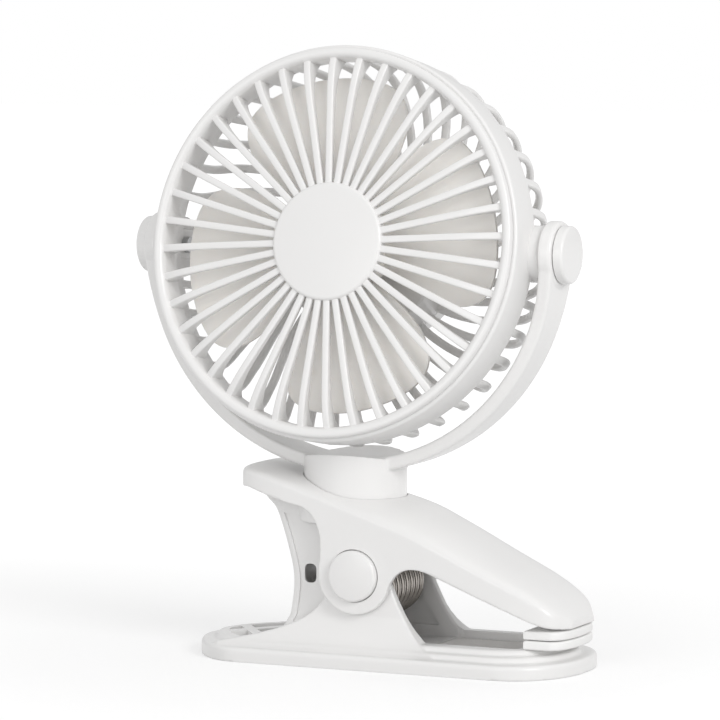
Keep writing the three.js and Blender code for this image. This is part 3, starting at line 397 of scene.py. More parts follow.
def moulded(obj, voxel=0.4, passes=6):
    """Fuses what overlaps and softens every edge, as a mould does."""
    remesh = obj.modifiers.new("fuse", "REMESH")
    remesh.mode = "VOXEL"
    remesh.voxel_size = voxel * MM
    soften = obj.modifiers.new("soften", "SMOOTH")
    soften.factor = 0.5
    soften.iterations = passes
    return baked(obj)


def copies(obj, count, matrix_of):
    """One mesh holding the object's mesh, placed by each matrix."""
    work = bmesh.new()
    for k in range(count):
        mesh = obj.data.copy()
        mesh.transform(matrix_of(k))
        work.from_mesh(mesh)
        bpy.data.meshes.remove(mesh)
    work.to_mesh(obj.data)
    work.free()
    return obj


def turn_y(angle):
    """Turns from +X towards +Z: counter-clockwise, seen from the front."""
    return Matrix.Rotation(-angle, 4, "Y")


# ---------------------------------------------------------------- materials
TINT = 0.975  # the darkest the colour gets, as a share of it
UNEVEN = 0.12  # how far the roughness goes up and down, as a share of it


def material(name, colour, roughness, metallic=0.0):
    """A node material whose colour and roughness vary a little over the surface."""
    mat = bpy.data.materials.new(name)
    mat.use_nodes = True
    nodes, links = mat.node_tree.nodes, mat.node_tree.links
    shader = nodes["Principled BSDF"]
    shader.inputs["Metallic"].default_value = metallic
    place = nodes.new("ShaderNodeTexCoord")
    cloud = nodes.new("ShaderNodeTexNoise")
    cloud.inputs["Scale"].default_value = 45
    cloud.inputs["Detail"].default_value = 3
    links.new(place.outputs["Object"], cloud.inputs["Vector"])
    tint = nodes.new("ShaderNodeMixRGB")
    tint.inputs["Color1"].default_value = (*(c * TINT for c in colour), 1)
    tint.inputs["Color2"].default_value = (*colour, 1)
    links.new(cloud.outputs["Fac"], tint.inputs["Fac"])
    links.new(tint.outputs["Color"], shader.inputs["Base Color"])
    gloss = nodes.new("ShaderNodeMapRange")
    gloss.inputs["To Min"].default_value = roughness * (1 - UNEVEN)
    gloss.inputs["To Max"].default_value = roughness * (1 + UNEVEN)
    links.new(cloud.outputs["Fac"], gloss.inputs["Value"])
    links.new(gloss.outputs["Result"], shader.inputs["Roughness"])
    return mat, place, shader


def grained(mat, place, shader, scale, height):
    """Adds fine surface grain: scale in bumps per metre, height in metres."""
    nodes, links = mat.node_tree.nodes, mat.node_tree.links
    grain = nodes.new("ShaderNodeTexNoise")
    grain.inputs["Scale"].default_value = scale
    grain.inputs["Detail"].default_value = 4
    links.new(place.outputs["Object"], grain.inputs["Vector"])
    bump = nodes.new("ShaderNodeBump")
    bump.inputs["Distance"].default_value = height
    bump.inputs["Strength"].default_value = 0.6
    links.new(grain.outputs["Fac"], bump.inputs["Height"])
    links.new(bump.outputs["Normal"], shader.inputs["Normal"])
    return mat


def white_plastic():
    mat, place, shader = material("white_plastic", (0.865, 0.858, 0.85), 0.34)
    shader.inputs["Coat Weight"].default_value = 0.3
    shader.inputs["Coat Roughness"].default_value = 0.15
    return grained(mat, place, shader, 1600, 0.000012)


def milky_plastic():
    mat, place, shader = material("milky_plastic", (0.95, 0.925, 0.89), 0.42)
    shader.inputs["Subsurface Weight"].default_value = 0.15
    shader.inputs["Subsurface Radius"].default_value = (0.004, 0.0035, 0.003)
    return grained(mat, place, shader, 1200, 0.000015)


def soft_pad():
    mat, place, shader = material("soft_pad", (0.92, 0.915, 0.905), 0.55)
    return grained(mat, place, shader, 2500, 0.00003)


def grey_mat():
    mat, place, shader = material("grey_mat", (0.88, 0.865, 0.845), 0.8)
    return grained(mat, place, shader, 3000, 0.00006)


def bright_steel():
    mat, place, shader = material("bright_steel", (0.45, 0.42, 0.39), 0.2, metallic=1.0)
    return grained(mat, place, shader, 5000, 0.000004)


def zinc():
    mat, place, shader = material("zinc", (0.56, 0.57, 0.58), 0.38, metallic=1.0)
    return grained(mat, place, shader, 2500, 0.000008)


def black_plastic():
    mat, place, shader = material("black_plastic", (0.02, 0.02, 0.022), 0.45)
    return grained(mat, place, shader, 2000, 0.00002)


def cell_film():
    mat, place, shader = material("cell_film", (0.32, 0.42, 0.52), 0.35)
    return grained(mat, place, shader, 300, 0.00005)


def board_green():
    mat, place, shader = material("board_green", (0.02, 0.12, 0.05), 0.4)
    return grained(mat, place, shader, 900, 0.00003)


def lens():
    mat, place, shader = material("lens", (0.75, 0.8, 0.84), 0.12)
    return grained(mat, place, shader, 800, 0.000004)


FINISHES = {
    "body_white": white_plastic(),
    "pad_white": soft_pad(),
    "mat_grey": grey_mat(),
    "milky_white": milky_plastic(),
    "bright_steel": bright_steel(),
    "zinc": zinc(),
    "black_plastic": black_plastic(),
    "cell_film": cell_film(),
    "board_green": board_green(),
    "lens": lens(),
}
BODY_OF = {n: b for b, members in frame["record"]["behaviour"]["bodies"].items() for n in members}
SLOT_OF = {s["node"]: s["material_slot"] for s in frame["record"]["subparts"]}


def dressed(obj, node, smooth_angle=None, rides=True):
    """The piece stands for a CAD node: it rides with that node's body and takes its slot's finish."""
    obj.data.materials.clear()
    obj.data.materials.append(FINISHES[SLOT_OF[node]])
    for face in obj.data.polygons:
        face.use_smooth = True
    if smooth_angle is not None:
        obj.data.set_sharp_from_angle(angle=math.radians(smooth_angle))
    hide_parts(node)
    if rides:
        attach(obj, BODY_OF[node])
    return obj


def in_head(obj):
    """Moves a mesh drawn about the fan's own axis to the tilted head."""
    obj.data.transform(Matrix.Translation(HEAD.translation * MM) @ HEAD.to_3x3().to_4x4())
    return obj


# ---------------------------------------------------------------- camera, from the photograph's own view
TURN = math.radians(24.77)  # from the fan's front towards the jaw tip
RISE = math.radians(4.9)
DISTANCE = 1344.9
LENS = 212
AIM_HIGH = 94.7
AIM_RIGHT = 1.35  # across the picture
AIM = Vector((AIM_RIGHT * math.cos(TURN), AIM_RIGHT * math.sin(TURN), AIM_HIGH))


def camera():
    data = bpy.data.cameras.new("camera")
    data.lens = LENS
    data.sensor_width = 36
    data.clip_start, data.clip_end = 0.05, 20
    obj = bpy.data.objects.new("camera", data)
    bpy.context.scene.collection.objects.link(obj)
    back = Vector((math.sin(TURN) * math.cos(RISE), -math.cos(TURN) * math.cos(RISE), math.sin(RISE)))
    obj.location = (AIM + back * DISTANCE) * MM
    obj.rotation_euler = (-back).to_track_quat("-Z", "Y").to_euler()
    bpy.context.scene.camera = obj


# ---------------------------------------------------------------- head: front grille
def fin_place(k):
    """The turn of one fin, and of the rib behind it."""
    return turn_y(FIN_PHASE + 2 * math.pi * k / FINS)


def front_grille():
    rim = turned(
        "rim",
        rounded(
            [
                (COLLAR_IN, COLLAR_BACK, 0.5),
                (BAND_IN - SEAT, COLLAR_BACK, 0.5),
                (BAND_IN - SEAT, BAND_FRONT - SEAT, 0),
                (RIM_R, BAND_FRONT - SEAT, 0.3),
                (RIM_R, RIM_FRONT, 1.4),
                (RIM_OPENING - 0.2, RIM_FRONT, 1),
                (COLLAR_IN, RIM_FRONT + WALL, 1),
            ]
        ),
        steps=240,
    )
    disc = turned(
        "disc",
        [
            (0, DISC_FRONT),
            *arc(DISC_R - DISC_SOFT, DISC_FRONT + DISC_SOFT, DISC_SOFT, -90, 0, 8),
            (DISC_R, DISC_FRONT + DISC_DEEP),
            (DISC_R - WALL, DISC_FRONT + DISC_DEEP),
            (DISC_R - WALL, DISC_FRONT + DISC_FACE),
            (0, DISC_FRONT + DISC_FACE),
        ],
        steps=160,
    )
    # radius, front edge and back edge along a fin
    stations = through(
        [
            (DISC_R - 1, RIM_FRONT - 0.8, RIM_FRONT + 1.7),
            (FIN_MID_R, RIM_FRONT - 0.8, RIM_FRONT + 2),
            (RIM_OPENING - 11, RIM_FRONT - 0.6, RIM_FRONT + 3),
            (RIM_OPENING - 4.5, RIM_FRONT + 0.2, RIM_FRONT + 6),
            (RIM_OPENING - 0.7, RIM_FRONT + 1.3, RIM_FRONT + 10.6),
        ],
        6,
    )
    wide, thin = FIN_THICK / 2, FIN_THICK * 0.35
    rings = []
    for r, front, back in stations:
        corners = [(-wide, front, 0.7), (wide, front, 0.7), (thin, back, 0.4), (-thin, back, 0.4)]
        section = rounded(corners, 4)
        rings.append([(r, depth, across) for across, depth in section])
    fins = copies(skinned("fin", rings), FINS, fin_place)
    return dressed(in_head(joined("front_grille_fine", rim, disc, fins)), "front_grille", 50)


# ---------------------------------------------------------------- head: rear cage
def rear_cage():
    band = turned(
        "band",
        rounded(
            [
                (BAND_IN, BAND_FRONT, 0.4),
                (BAND_R, BAND_FRONT, 1.3),
                (BAND_R, BAND_BACK, 0.9),
                (BAND_IN, BAND_BACK, 0.5),
            ]
        ),
        steps=240,
    )
    # radius, depth and share of the swirl along a rib
    line = [
        (BAND_R - 1.2, BAND_BACK - 0.6, 0),
        (BAND_R - 1.5, 8, 0.04),
        (BAND_R - 5.5, 15.6, 0.2),
        (BAND_R - 14, CAGE_BACK, 0.42),
        (CUP_R - 0.8, CAGE_BACK, 1),
    ]
    path = []
    across = []
    for r, depth, share in through(line, 8):
        angle = RIB_SWIRL * share
        path.append(Vector((r * math.cos(angle), depth, r * math.sin(angle))))
        across.append(Vector((-math.sin(angle), 0, math.cos(angle))))
    w, d = RIB_WIDTH / 2, RIB_DEEP / 2
    section = rounded([(-w, -d, 0.9), (w, -d, 0.9), (w, d, 0.9), (-w, d, 0.9)], 3)
    ribs = copies(swept("rib", path, across, section), FINS, fin_place)
    cup = turned(
        "cup",
        rounded(
            [
                (CUP_BORE_R, CUP_FRONT, 0.3),
                (CUP_R, CUP_FRONT, 1.2),
                (CUP_R, CUP_BACK, 0.4),
                (CUP_R - WALL, CUP_BACK, 0.3),
                (CUP_R - WALL, CUP_FRONT + WALL, 0.8),
                (CUP_BORE_R, CUP_FRONT + WALL, 0.3),
            ]
        ),
        steps=128,
    )
    bosses = []
    for sign in (-1, 1):
        face = sign * (YOKE_IN - 0.4)
        root = sign * (BAND_IN + 0.4)
        boss = turned(
            "boss",
            [
                (0, root),
                (BOSS_R, root),
                (BOSS_R, face - sign * 0.6),
                (BOSS_R - 0.6, face),
                (PIVOT_BORE_R, face),
                (PIVOT_BORE_R, root + sign * 1.2),
                (0, root + sign * 1.2),
            ],
            "x",
            96,
        )
        bosses.append(cut(boss, rod("y", BAND_IN, BAND_FRONT - 2, 20, steps=160)))
    return dressed(in_head(joined("rear_cage_fine", band, ribs, cup, *bosses)), "rear_cage", 50)


# ---------------------------------------------------------------- head: rear cover and button
def rear_cover():
    front = CUP_BACK + SEAT
    shell = turned(
        "rear_cover_fine",
        [
            (CUP_R - WALL, front),
            (CUP_R, front),
            *arc(CUP_R - COVER_SOFT, COVER_BACK - COVER_SOFT, COVER_SOFT, 0, 90, 12),
            (0, COVER_BACK),
            (0, COVER_BACK - WALL),
            (CUP_R - COVER_SOFT, COVER_BACK - WALL),
            (CUP_R - WALL, COVER_BACK - COVER_SOFT),
        ],
        steps=128,
    )
    holes = [
        rod("y", BUTTON_BORE_R, COVER_BACK - 4, COVER_BACK + 2, (0, 0, BUTTON_UP)),
        rod("y", LIGHT_BORE_R, COVER_BACK - 4, COVER_BACK + 2, (LIGHT_OUT, 0, BUTTON_UP), 32),
    ]
    for out in (-COVER_SCREW_OUT, COVER_SCREW_OUT):
        holes.append(rod("y", COVER_SCREW_BORE_R, COVER_BACK - 5, COVER_BACK + 2, (out, 0, 0), 32))
    depth = (middle("usb_socket") - HEAD.translation).dot(AXIS)
    half, deep = INLET_HALF
    inlet = window(-half, half, depth - deep, depth + deep, 1.4)
    holes.append(prism("slot", inlet, "z", -CUP_R - 2, -CUP_R + 6))
    return dressed(in_head(cut(shell, *holes)), "rear_cover", 35)


def power_button():
    crown = turned(
        "power_button_fine",
        [
            (0, BUTTON_FRONT),
            (BUTTON_R, BUTTON_FRONT),
            (BUTTON_R, COVER_BACK + 0.4),
            (BUTTON_R - 0.4, COVER_BACK + 0.85),
            (BUTTON_R - 1, COVER_BACK + 1),
            (BUTTON_R - 1.7, COVER_BACK + 0.9),
            (0, COVER_BACK + 0.6),
        ],
        steps=64,
    )
    crown.data.transform(Matrix.Translation((0, 0, BUTTON_UP * MM)))
    return dressed(in_head(crown), "power_button", 40)


# ---------------------------------------------------------------- head: impeller
def impeller():
    hub = turned(
        "hub",
        [
            (0, HUB_FRONT),
            *arc(HUB_R - HUB_SOFT, HUB_FRONT + HUB_SOFT, HUB_SOFT, -90, 0, 10),
            (HUB_R, HUB_BACK),
            (HUB_R - WALL, HUB_BACK),
            (HUB_R - WALL, HUB_FRONT + 4),
            (HUB_CORE_R, HUB_FRONT + 4),
            (HUB_CORE_R, HUB_BACK - 2),
            (0, HUB_BACK - 2),
        ],
        steps=96,
    )
    # along v a blade runs from its front edge to its back edge, along u from the hub to the tip
    chords, spans = 48, 20
    root = HUB_R - 0.8
    centre = (BLADE_FRONT + BLADE_BACK) / 2
    points = []
    for i in range(chords + 1):
        v = 2 * i / chords - 1
        tip = BLADE_TIP_R - (BLADE_TIP_R - HUB_R) * BLADE_ROUND * abs(v) ** 7
        for j in range(spans + 1):
            u = j / spans
            r = root + (tip - root) * u
            spread = 0.88 + 0.12 * math.sin(math.pi * (0.25 + 0.55 * u))
            angle = -BLADE_HALF * v * spread
            rise = (BLADE_BACK - BLADE_FRONT) / 2 * (1 - 0.25 * u)
            depth = centre + rise * v - BLADE_DISH * (1 - v * v) * u
            points.append((r * math.cos(angle), depth, r * math.sin(angle)))
    row = spans + 1
    faces = [
        (i * row + j, i * row + j + 1, (i + 1) * row + j + 1, (i + 1) * row + j)
        for i in range(chords)
        for j in range(spans)
    ]
    petal = made("petal", points, faces)
    solid = petal.modifiers.new("thick", "SOLIDIFY")
    solid.thickness = BLADE_THICK * MM
    solid.offset = 0
    edge = petal.modifiers.new("edge", "BEVEL")
    edge.width = 0.5 * MM
    edge.segments = 3
    edge.limit_method = "ANGLE"
    baked(petal)
    petals = copies(petal, BLADES, lambda k: turn_y(BLADE_PHASE - 2 * math.pi * k / BLADES))
    return dressed(in_head(joined("impeller_fine", hub, petals)), "impeller", 45)


# ---------------------------------------------------------------- yoke and its caps
def yoke():
    steps = 96
    rings = []
    for s in range(steps + 1):
        angle = math.pi + math.pi * s / steps
        drop = -math.sin(angle) * YOKE_OUT
        flare = max(0.0, 1 - drop / YOKE_FLARE) ** 1.6
        half = YOKE_HALF + (YOKE_EAR_R * 0.97 - YOKE_HALF) * flare
        section = rounded(
            [(YOKE_IN, -half, 0.8), (YOKE_OUT, -half, 1.2), (YOKE_OUT, half, 1.2), (YOKE_IN, half, 0.8)], 4
        )
        rings.append([(r * math.cos(angle), y, PIVOT_H + r * math.sin(angle)) for r, y in section])
    parts = [skinned("arc", rings)]
    for sign in (-1, 1):
        ear = rounded(
            [
                (0, sign * YOKE_IN, 0),
                (YOKE_EAR_R, sign * YOKE_IN, 0.8),
                (YOKE_EAR_R, sign * YOKE_OUT, 1.2),
                (0, sign * YOKE_OUT, 0),
            ],
            4,
        )
        disc = turned("ear", ear, "x", 96)
        disc.data.transform(Matrix.Translation((0, 0, PIVOT_H * MM)))
        parts.append(disc)
    neck = rod("z", NECK_R, POCKET_FLOOR + SEAT, SHELL_TOP, steps=128)
    parts.append(cut(neck, rod("x", YOKE_IN - 0.4, -20, 20, (0, 0, PIVOT_H), 240)))
    body = moulded(joined("yoke_fine", *parts), 0.35, 4)
    holes = []
    for sign in (-1, 1):
        inner, sink, out = sign * (YOKE_IN - 2), sign * (YOKE_OUT - PIVOT_SINK), sign * (YOKE_OUT + 1)
        holes.append(rod("x", PIVOT_BORE_R, inner, out, (0, 0, PIVOT_H)))
        holes.append(rod("x", PIVOT_SINK_R, sink, out, (0, 0, PIVOT_H)))
    return dressed(cut(body, *holes), "yoke", 60)


def round_cap(node, axis, sign, base, top, radius, at):
    """A round cap with a nearly flat face and a soft edge."""
    height = abs(top - base)
    soft = min(1.0, height * 0.4)
    edge = arc(radius - soft, height - soft, soft, 0, 80, 8)
    profile = [(0, base), (radius, base), *[(r, base + sign * h) for r, h in edge], (0, top)]
    cap = turned(f"{node}_fine", profile, axis, 96)
    cap.data.transform(Matrix.Translation(Vector(at) * MM))
    return dressed(cap, node, 35)


def caps():
    for side, sign in (("left", -1), ("right", 1)):
        base = sign * (YOKE_OUT + SEAT)
        top = base + sign * PIVOT_CAP_HIGH
        round_cap(f"pivot_cap_{side}", "x", sign, base, top, PIVOT_CAP_R, (0, 0, PIVOT_H))
    for side, sign in (("front", -1), ("rear", 1)):
        base, top = sign * (ARM_HALF - PIN_SINK + SEAT), sign * (ARM_HALF + PIN_CAP_HIGH)
        round_cap(f"pin_cap_{side}", "y", sign, base, top, PIN_CAP_R, (PIN.x, 0, PIN.z))


# ---------------------------------------------------------------- upper arm
# x, height of the crown, drop from the crown to the edge, half width
ARM_LINE = [
    (-35.8, 60.2, 0.8, 7.5),
    (-33.4, 60.9, 1, 13.5),
    (-29.5, 61.3, 1, 18.2),
    (-17, 59, 1.4, 20),
    (18, 51.4, 5, 20),
    (32, 45.6, 4.4, 20),
    (50, 36, 3, 19.7),
    (64, 28.6, 2, 18.7),
    (73, 22.6, 1.6, 16.4),
    (78, 17.5, 1, 9.5),
]
# height, back face of the skirt that hangs from the handle
SKIRT_LINE = [(9.5, -20.2), (12.6, -18.4), (15.2, -17.2), (24.4, -16.1), (32.5, -17.2)]
SKIRT_LINE += [(46.6, -21.7), (51.3, -25.6), (57.5, -30.6)]


def arm_body(inset, thick):
    """The arm's crowned form. For the hollow inside, inset narrows it and thick lowers its crown."""
    rings = []
    for x, top, drop, half in through(ARM_LINE, 8):
        half = min(half, ARM_HALF) - inset
        ring = [(x, -half, 0)]
        for s in range(-16, 17):
            share = math.sin(math.pi / 2 * s / 16)
            z = top - thick - drop * abs(share) ** 3 - 1.4 * abs(share) ** 24
            ring.append((x, half * share, z))
        ring.append((x, half, 0))
        rings.append(ring)
    return skinned("arm_body", rings)


def arm_side():
    """The arm from the side: handle, S-shaped edge, ear at the pin, throat and jaw."""
    pad_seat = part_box("upper_pad")[1].z / MM + SEAT
    return [
        Vector((-38, SHELL_TOP)),
        Vector((-38, 54.8)),
        *bezier((-29.5, 54.8), (-24, 53.4), (-18, 50.9), (-11.2, 49.7)),
        *bezier((-11.2, 49.7), (-5.5, 48.7), (-1.5, 41.5), (PIN.x - EAR_R, PIN.z + 2))[1:],
        *arc(PIN.x, PIN.z, EAR_R, 172, 348, 40),
        *bezier((PIN.x + EAR_R * 0.978, PIN.z - EAR_R * 0.208), (22.6, 30.6), (27, 33.4), (35, 30))[1:],
        *bezier((60, 20), (66, 17.6), (70.2, pad_seat + 0.6), (79, pad_seat)),
        Vector((80, SHELL_TOP)),
    ]


def skirt_body(inset):
    """The skirt behind the spring, as a solid that is inset inside its skin."""
    half, turn = SKIRT_HALF - inset, SKIRT_TURN - inset
    rings = []
    for z, x in through(SKIRT_LINE, 6):
        back = x + inset
        corner = [(back + turn * (1 - math.sin(a)), half - turn * (1 - math.cos(a))) for a in QUARTER]
        side = [(SKIRT_FRONT + inset, half), *corner]
        ring = [(x, -y) for x, y in side] + list(reversed(side))
        rings.append([(x, y, z - inset if z == SKIRT_FOOT else z) for x, y in ring])
    return skinned("skirt", rings)


def skirt_panel(sign):
    """What is cut from the skirt's side: it leaves a rim along the back edge and the foot."""
    foot, top = SKIRT_FOOT + PANEL_RIM * 0.8, PANEL_TOP - 2
    line = [(x + PANEL_RIM, z) for z, x in through(SKIRT_LINE, 6) if foot + 0.2 < z <= PANEL_TOP]
    outline = [(SKIRT_FRONT + 1, foot), (line[0][0] + 0.2, foot), *line, (SKIRT_FRONT + 1, top)]
    face = SKIRT_HALF - PANEL_DEEP
    return prism("panel", [Vector(p) for p in outline], "y", sign * face, sign * (SKIRT_HALF + 1))


def upper_arm():
    side = prism("side", arm_side(), "y", -ARM_HALF - 2, ARM_HALF + 2)
    shell = common(arm_body(0, 0), side)
    hollow = common(arm_body(ARM_WALL, 3), block(*ARM_HOLLOW, -ARM_HALF, ARM_HALF, -1, SHELL_TOP))
    cut(shell, hollow)
    skirt = common(cut(skirt_body(0), skirt_body(SKIRT_WALL)), arm_body(0, 0))
    pocket = common(rod("z", NECK_R + POCKET_WALL, POCKET_UNDER, SHELL_TOP, steps=128), arm_body(0, 0))
    body = moulded(joined("upper_arm_fine", shell, skirt, pocket), 0.4, 5)
    sinks = []
    for sign in (-1, 1):
        floor_y, out = sign * (ARM_HALF - PIN_SINK), sign * (ARM_HALF + 3)
        sinks.append(rod("y", PIN_SINK_R, floor_y, out, (PIN.x, 0, PIN.z), 96))
    cut(
        body,
        skirt_panel(-1),
        skirt_panel(1),
        prism("slot", window(-11.7, -7.6, 24.6, 30.7, 1.9), "y", -SKIRT_HALF - 1, SKIRT_HALF + 1),
        rod("z", NECK_R + SEAT, POCKET_FLOOR, ABOVE, steps=128),
        rod("z", SWIVEL_BORE_R, 30, ABOVE),
        rod("y", PIN_BORE_R, -30, 30, (PIN.x, 0, PIN.z)),
        *sinks,
    )
    return dressed(body, "upper_arm", 60)


# ---------------------------------------------------------------- lower arm
def plate_outline(inset):
    """The plate from above: straight sides and two curved ends, the handle's end blunter."""
    back, front, half = PLATE_BACK + inset, PLATE_FRONT - inset, PLATE_HALF - inset
    right = bezier((front - 21.5, -half), (front - 9.46, -half), (front, -half * 0.64), (front, 0), 24)
    left = bezier((back, 0), (back, -half * 0.29), (back + 9.45, -half), (back + 22.5, -half), 24)
    upper_right = [Vector((x, -y)) for x, y in reversed(right)]
    upper_left = [Vector((x, -y)) for x, y in reversed(left)]
    return [*left, *right, *upper_right[1:], *upper_left[:-1]]


def plate_layer(inset, low, high, soft):
    """A slab of the plate's outline with a rounded upper edge."""
    rings = [[(x, y, low) for x, y in plate_outline(inset)]]
    for a in QUARTER:
        outline = plate_outline(inset + soft * (1 - math.cos(a)))
        rings.append([(x, y, high - soft + soft * math.sin(a)) for x, y in outline])
    return skinned("layer", rings)


def cheek_side():
    """A cheek from the side: it rises from the plate to a round eye at the pin."""
    low = PLATE_EDGE - 1.5
    start = (PIN.x - CHEEK_R * 0.92, PIN.z - CHEEK_R * 0.39)
    end = (PIN.x + CHEEK_R * 0.99, PIN.z - CHEEK_R * 0.14)
    return [
        Vector((-44, low)),
        *bezier((-38, PLATE_EDGE + 1), (-20, 9), (-5, 13), start),
        *arc(PIN.x, PIN.z, CHEEK_R, 203, -8, 40),
        *bezier(end, (21, 24), (25, 9), (36, PLATE_EDGE + 1))[1:],
        Vector((40, low)),
    ]


def cheek_end(sign):
    """A cheek seen from the jaw tip: upright, then flaring out to the plate's edge."""
    low, high = PLATE_EDGE - 1.5, PIN.z + CHEEK_R + 1
    flare_top = PIN.z - EAR_R - 0.8
    side = PLATE_HALF - 1.5
    foot = (side, PLATE_EDGE - 0.4)
    flare = bezier((CHEEK_OUT, flare_top), (CHEEK_OUT + 1, 10), (CHEEK_OUT + 3, 6.2), foot)
    outline = [Vector((CHEEK_IN, low)), Vector((CHEEK_IN, high)), Vector((CHEEK_OUT, high)), *flare]
    outline.append(Vector((side, low)))
    return [Vector((y * sign, z)) for y, z in outline]


def openwork():
    """What the webs at the handle end leave open."""
    end = block(PLATE_BACK, PIT[0] - 2, -PLATE_HALF, PLATE_HALF, -3, 13)
    field = common(prism("field", plate_outline(8.5), "z", -2, 12), end)
    slant, slant_x, slant_y = math.radians(52), -32.5, 6
    for side in (-1, 1):
        bar = block(-20, 20, -WEB_HALF, WEB_HALF, -4, 16)
        place = Matrix.Translation((slant_x * MM, side * slant_y * MM, 0))
        bar.data.transform(place @ Matrix.Rotation(side * slant, 4, "Z"))
        cut(field, bar)
    bridge_x = -27
    return cut(field, block(bridge_x - WEB_HALF, bridge_x + WEB_HALF, -9, 9, -9, 20))


def cheek_pocket(sign):
    """The hollow in a cheek's inner face, in front of the spring."""
    corners = [(3.4, 9.3, 1), (23.1, 9.3, 1), (17.1, 18.6, 1), (16.5, 21.6, 1), (3.4, 21.6, 1)]
    return prism("pocket", rounded(corners), "y", sign * (CHEEK_IN - 1), sign * (CHEEK_IN + 1.2))


def lower_arm():
    bed = plate_layer(BED_INSET, 1, BED_TOP, LAYER_SOFT)
    common(bed, block(BED_BACK, PLATE_FRONT + 0.5, -PLATE_HALF, PLATE_HALF, 0, 12))
    deck = plate_layer(DECK_INSET, 1, DECK_TOP, LAYER_SOFT)
    parts = [plate_layer(0, 0, PLATE_EDGE, PLATE_SOFT), deck, bed]
    for sign in (-1, 1):
        cheek = prism("cheek", cheek_end(sign), "x", -45, 45)
        common(cheek, prism("side", cheek_side(), "y", -30, 30))
        parts.append(common(cheek, prism("foot", plate_outline(PLATE_SOFT), "z", 0, 45)))
    body = moulded(joined("lower_arm_fine", *parts), 0.4, 5)
    mat_low, mat_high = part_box("grip_mat")
    mat_low, mat_high = mat_low / MM, mat_high / MM
    seat = window(mat_low.x - SEAT, mat_high.x + SEAT, mat_low.y - SEAT, mat_high.y + SEAT, MAT_TURN)
    cut(
        body,
        prism("mat_seat", seat, "z", MAT_FLOOR, 12),
        block(SKIRT_FRONT, JAW_FRONT, -CHEEK_IN, CHEEK_IN, JAW_FLOOR, 11),
        block(PIT[0], PIT[1], -CHEEK_IN, CHEEK_IN, PIT[2], 10),
        cheek_pocket(-1),
        cheek_pocket(1),
        openwork(),
        rod("y", PIN_BORE_R, -30, 30, (PIN.x, 0, PIN.z)),
    )
    return dressed(body, "lower_arm", 60)


# ---------------------------------------------------------------- pads and mat
def pad_outline(inset):
    """A pad from above: square at the back and curved at the tip."""
    back, front, half, turn = PAD_BACK + inset, PAD_FRONT - inset, PAD_HALF - inset, 6
    lower = bezier((front - turn, -half), (front - 2, -half), (front, -half + 5), (front, 0))
    upper = [Vector((x, -y)) for x, y in reversed(lower)]
    return [Vector((back, -half)), *lower, *upper[1:], Vector((back, half))]


def jaw_pad(node):
    """A pad with a rounded edge below and above."""
    low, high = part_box(node)
    rings = []
    for level, turn in ((low.z / MM + PAD_SOFT, -math.pi / 2), (high.z / MM - PAD_SOFT, 0)):
        for a in (turn + b for b in QUARTER):
            outline = pad_outline(PAD_SOFT * (1 - math.cos(a)))
            rings.append([(x, y, level + PAD_SOFT * math.sin(a)) for x, y in outline])
    return dressed(skinned(f"{node}_fine", rings), node, 40)


def grip_mat():
    """A mat whose face is a grid of small round bumps."""
    low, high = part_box("grip_mat")
    low, high = low / MM, high / MM
    per = 4
    columns = round((high.x - low.x) / BUMP_PITCH) * per
    rows = round((high.y - low.y) / BUMP_PITCH) * per
    points = []
    for i in range(columns + 1):
        for j in range(rows + 1):
            x = low.x + (high.x - low.x) * i / columns
            y = low.y + (high.y - low.y) * j / rows
            bump = abs(math.sin(math.pi * i / per) * math.sin(math.pi * j / per))
            points.append((x, y, high.z - BUMP_HIGH + BUMP_HIGH * bump))
    top = len(points)
    points += [(x, y, low.z) for x, y, z in points]
    row = rows + 1
    faces = []
    for i in range(columns):
        for j in range(rows):
            a = i * row + j
            faces.append((a, a + row, a + row + 1, a + 1))
            faces.append((a + top, a + 1 + top, a + row + 1 + top, a + row + top))
    for i in range(columns):
        for j in (0, rows):
            a = i * row + j
            faces.append((a, a + row, a + row + top, a + top))
    for j in range(rows):
        for i in (0, columns):
            a = i * row + j
            faces.append((a, a + 1, a + 1 + top, a + top))
    return dressed(made("grip_mat_fine", points, faces), "grip_mat", 70)


# ---------------------------------------------------------------- torsion spring
def torsion_spring():
    """One wire: a leg up to the handle, the coil round the pin and a leg down to the pit's floor."""

    def on_coil(angle, y):
        return Vector((PIN.x + COIL_R * math.cos(angle), y, COIL_Z + COIL_R * math.sin(angle)))

    def touch(leg):
        """Angle of a leg's end about the coil's middle, and how far from it the leg leaves the coil."""
        dx, dz = leg.x - PIN.x, leg.z - COIL_Z
        return math.atan2(dz, dx), math.acos(COIL_R / math.hypot(dx, dz))

    leg_end = Vector((-15, -COIL_HALF, 42.9))
    foot_end = Vector((-6, COIL_HALF, PIT[2] + SEAT + WIRE_R))
    out, hidden = touch(leg_end)
    start = out - hidden
    out, hidden = touch(foot_end)
    finish = out + hidden
    sweep = COIL_TURNS * 2 * math.pi + start - finish
    steps, leg_steps, sides = COIL_TURNS * 48, 9, 16
    touching = on_coil(start, -COIL_HALF)
    line = [leg_end.lerp(touching, s / leg_steps) for s in range(leg_steps)]
    for s in range(steps + 1):
        line.append(on_coil(start - sweep * s / steps, -COIL_HALF + 2 * COIL_HALF * s / steps))
    leaving = line[-1]
    line += [leaving.lerp(foot_end, (s + 1) / leg_steps) for s in range(leg_steps)]
    angles = [2 * math.pi * j / sides for j in range(sides)]
    section = [(WIRE_R * math.cos(a), WIRE_R * math.sin(a)) for a in angles]
    spring = swept("torsion_spring_fine", line, [Vector((0, 1, 0))] * len(line), section)
    dressed(spring, "torsion_spring", 60, rides=False)
    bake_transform(spring)
    return spring


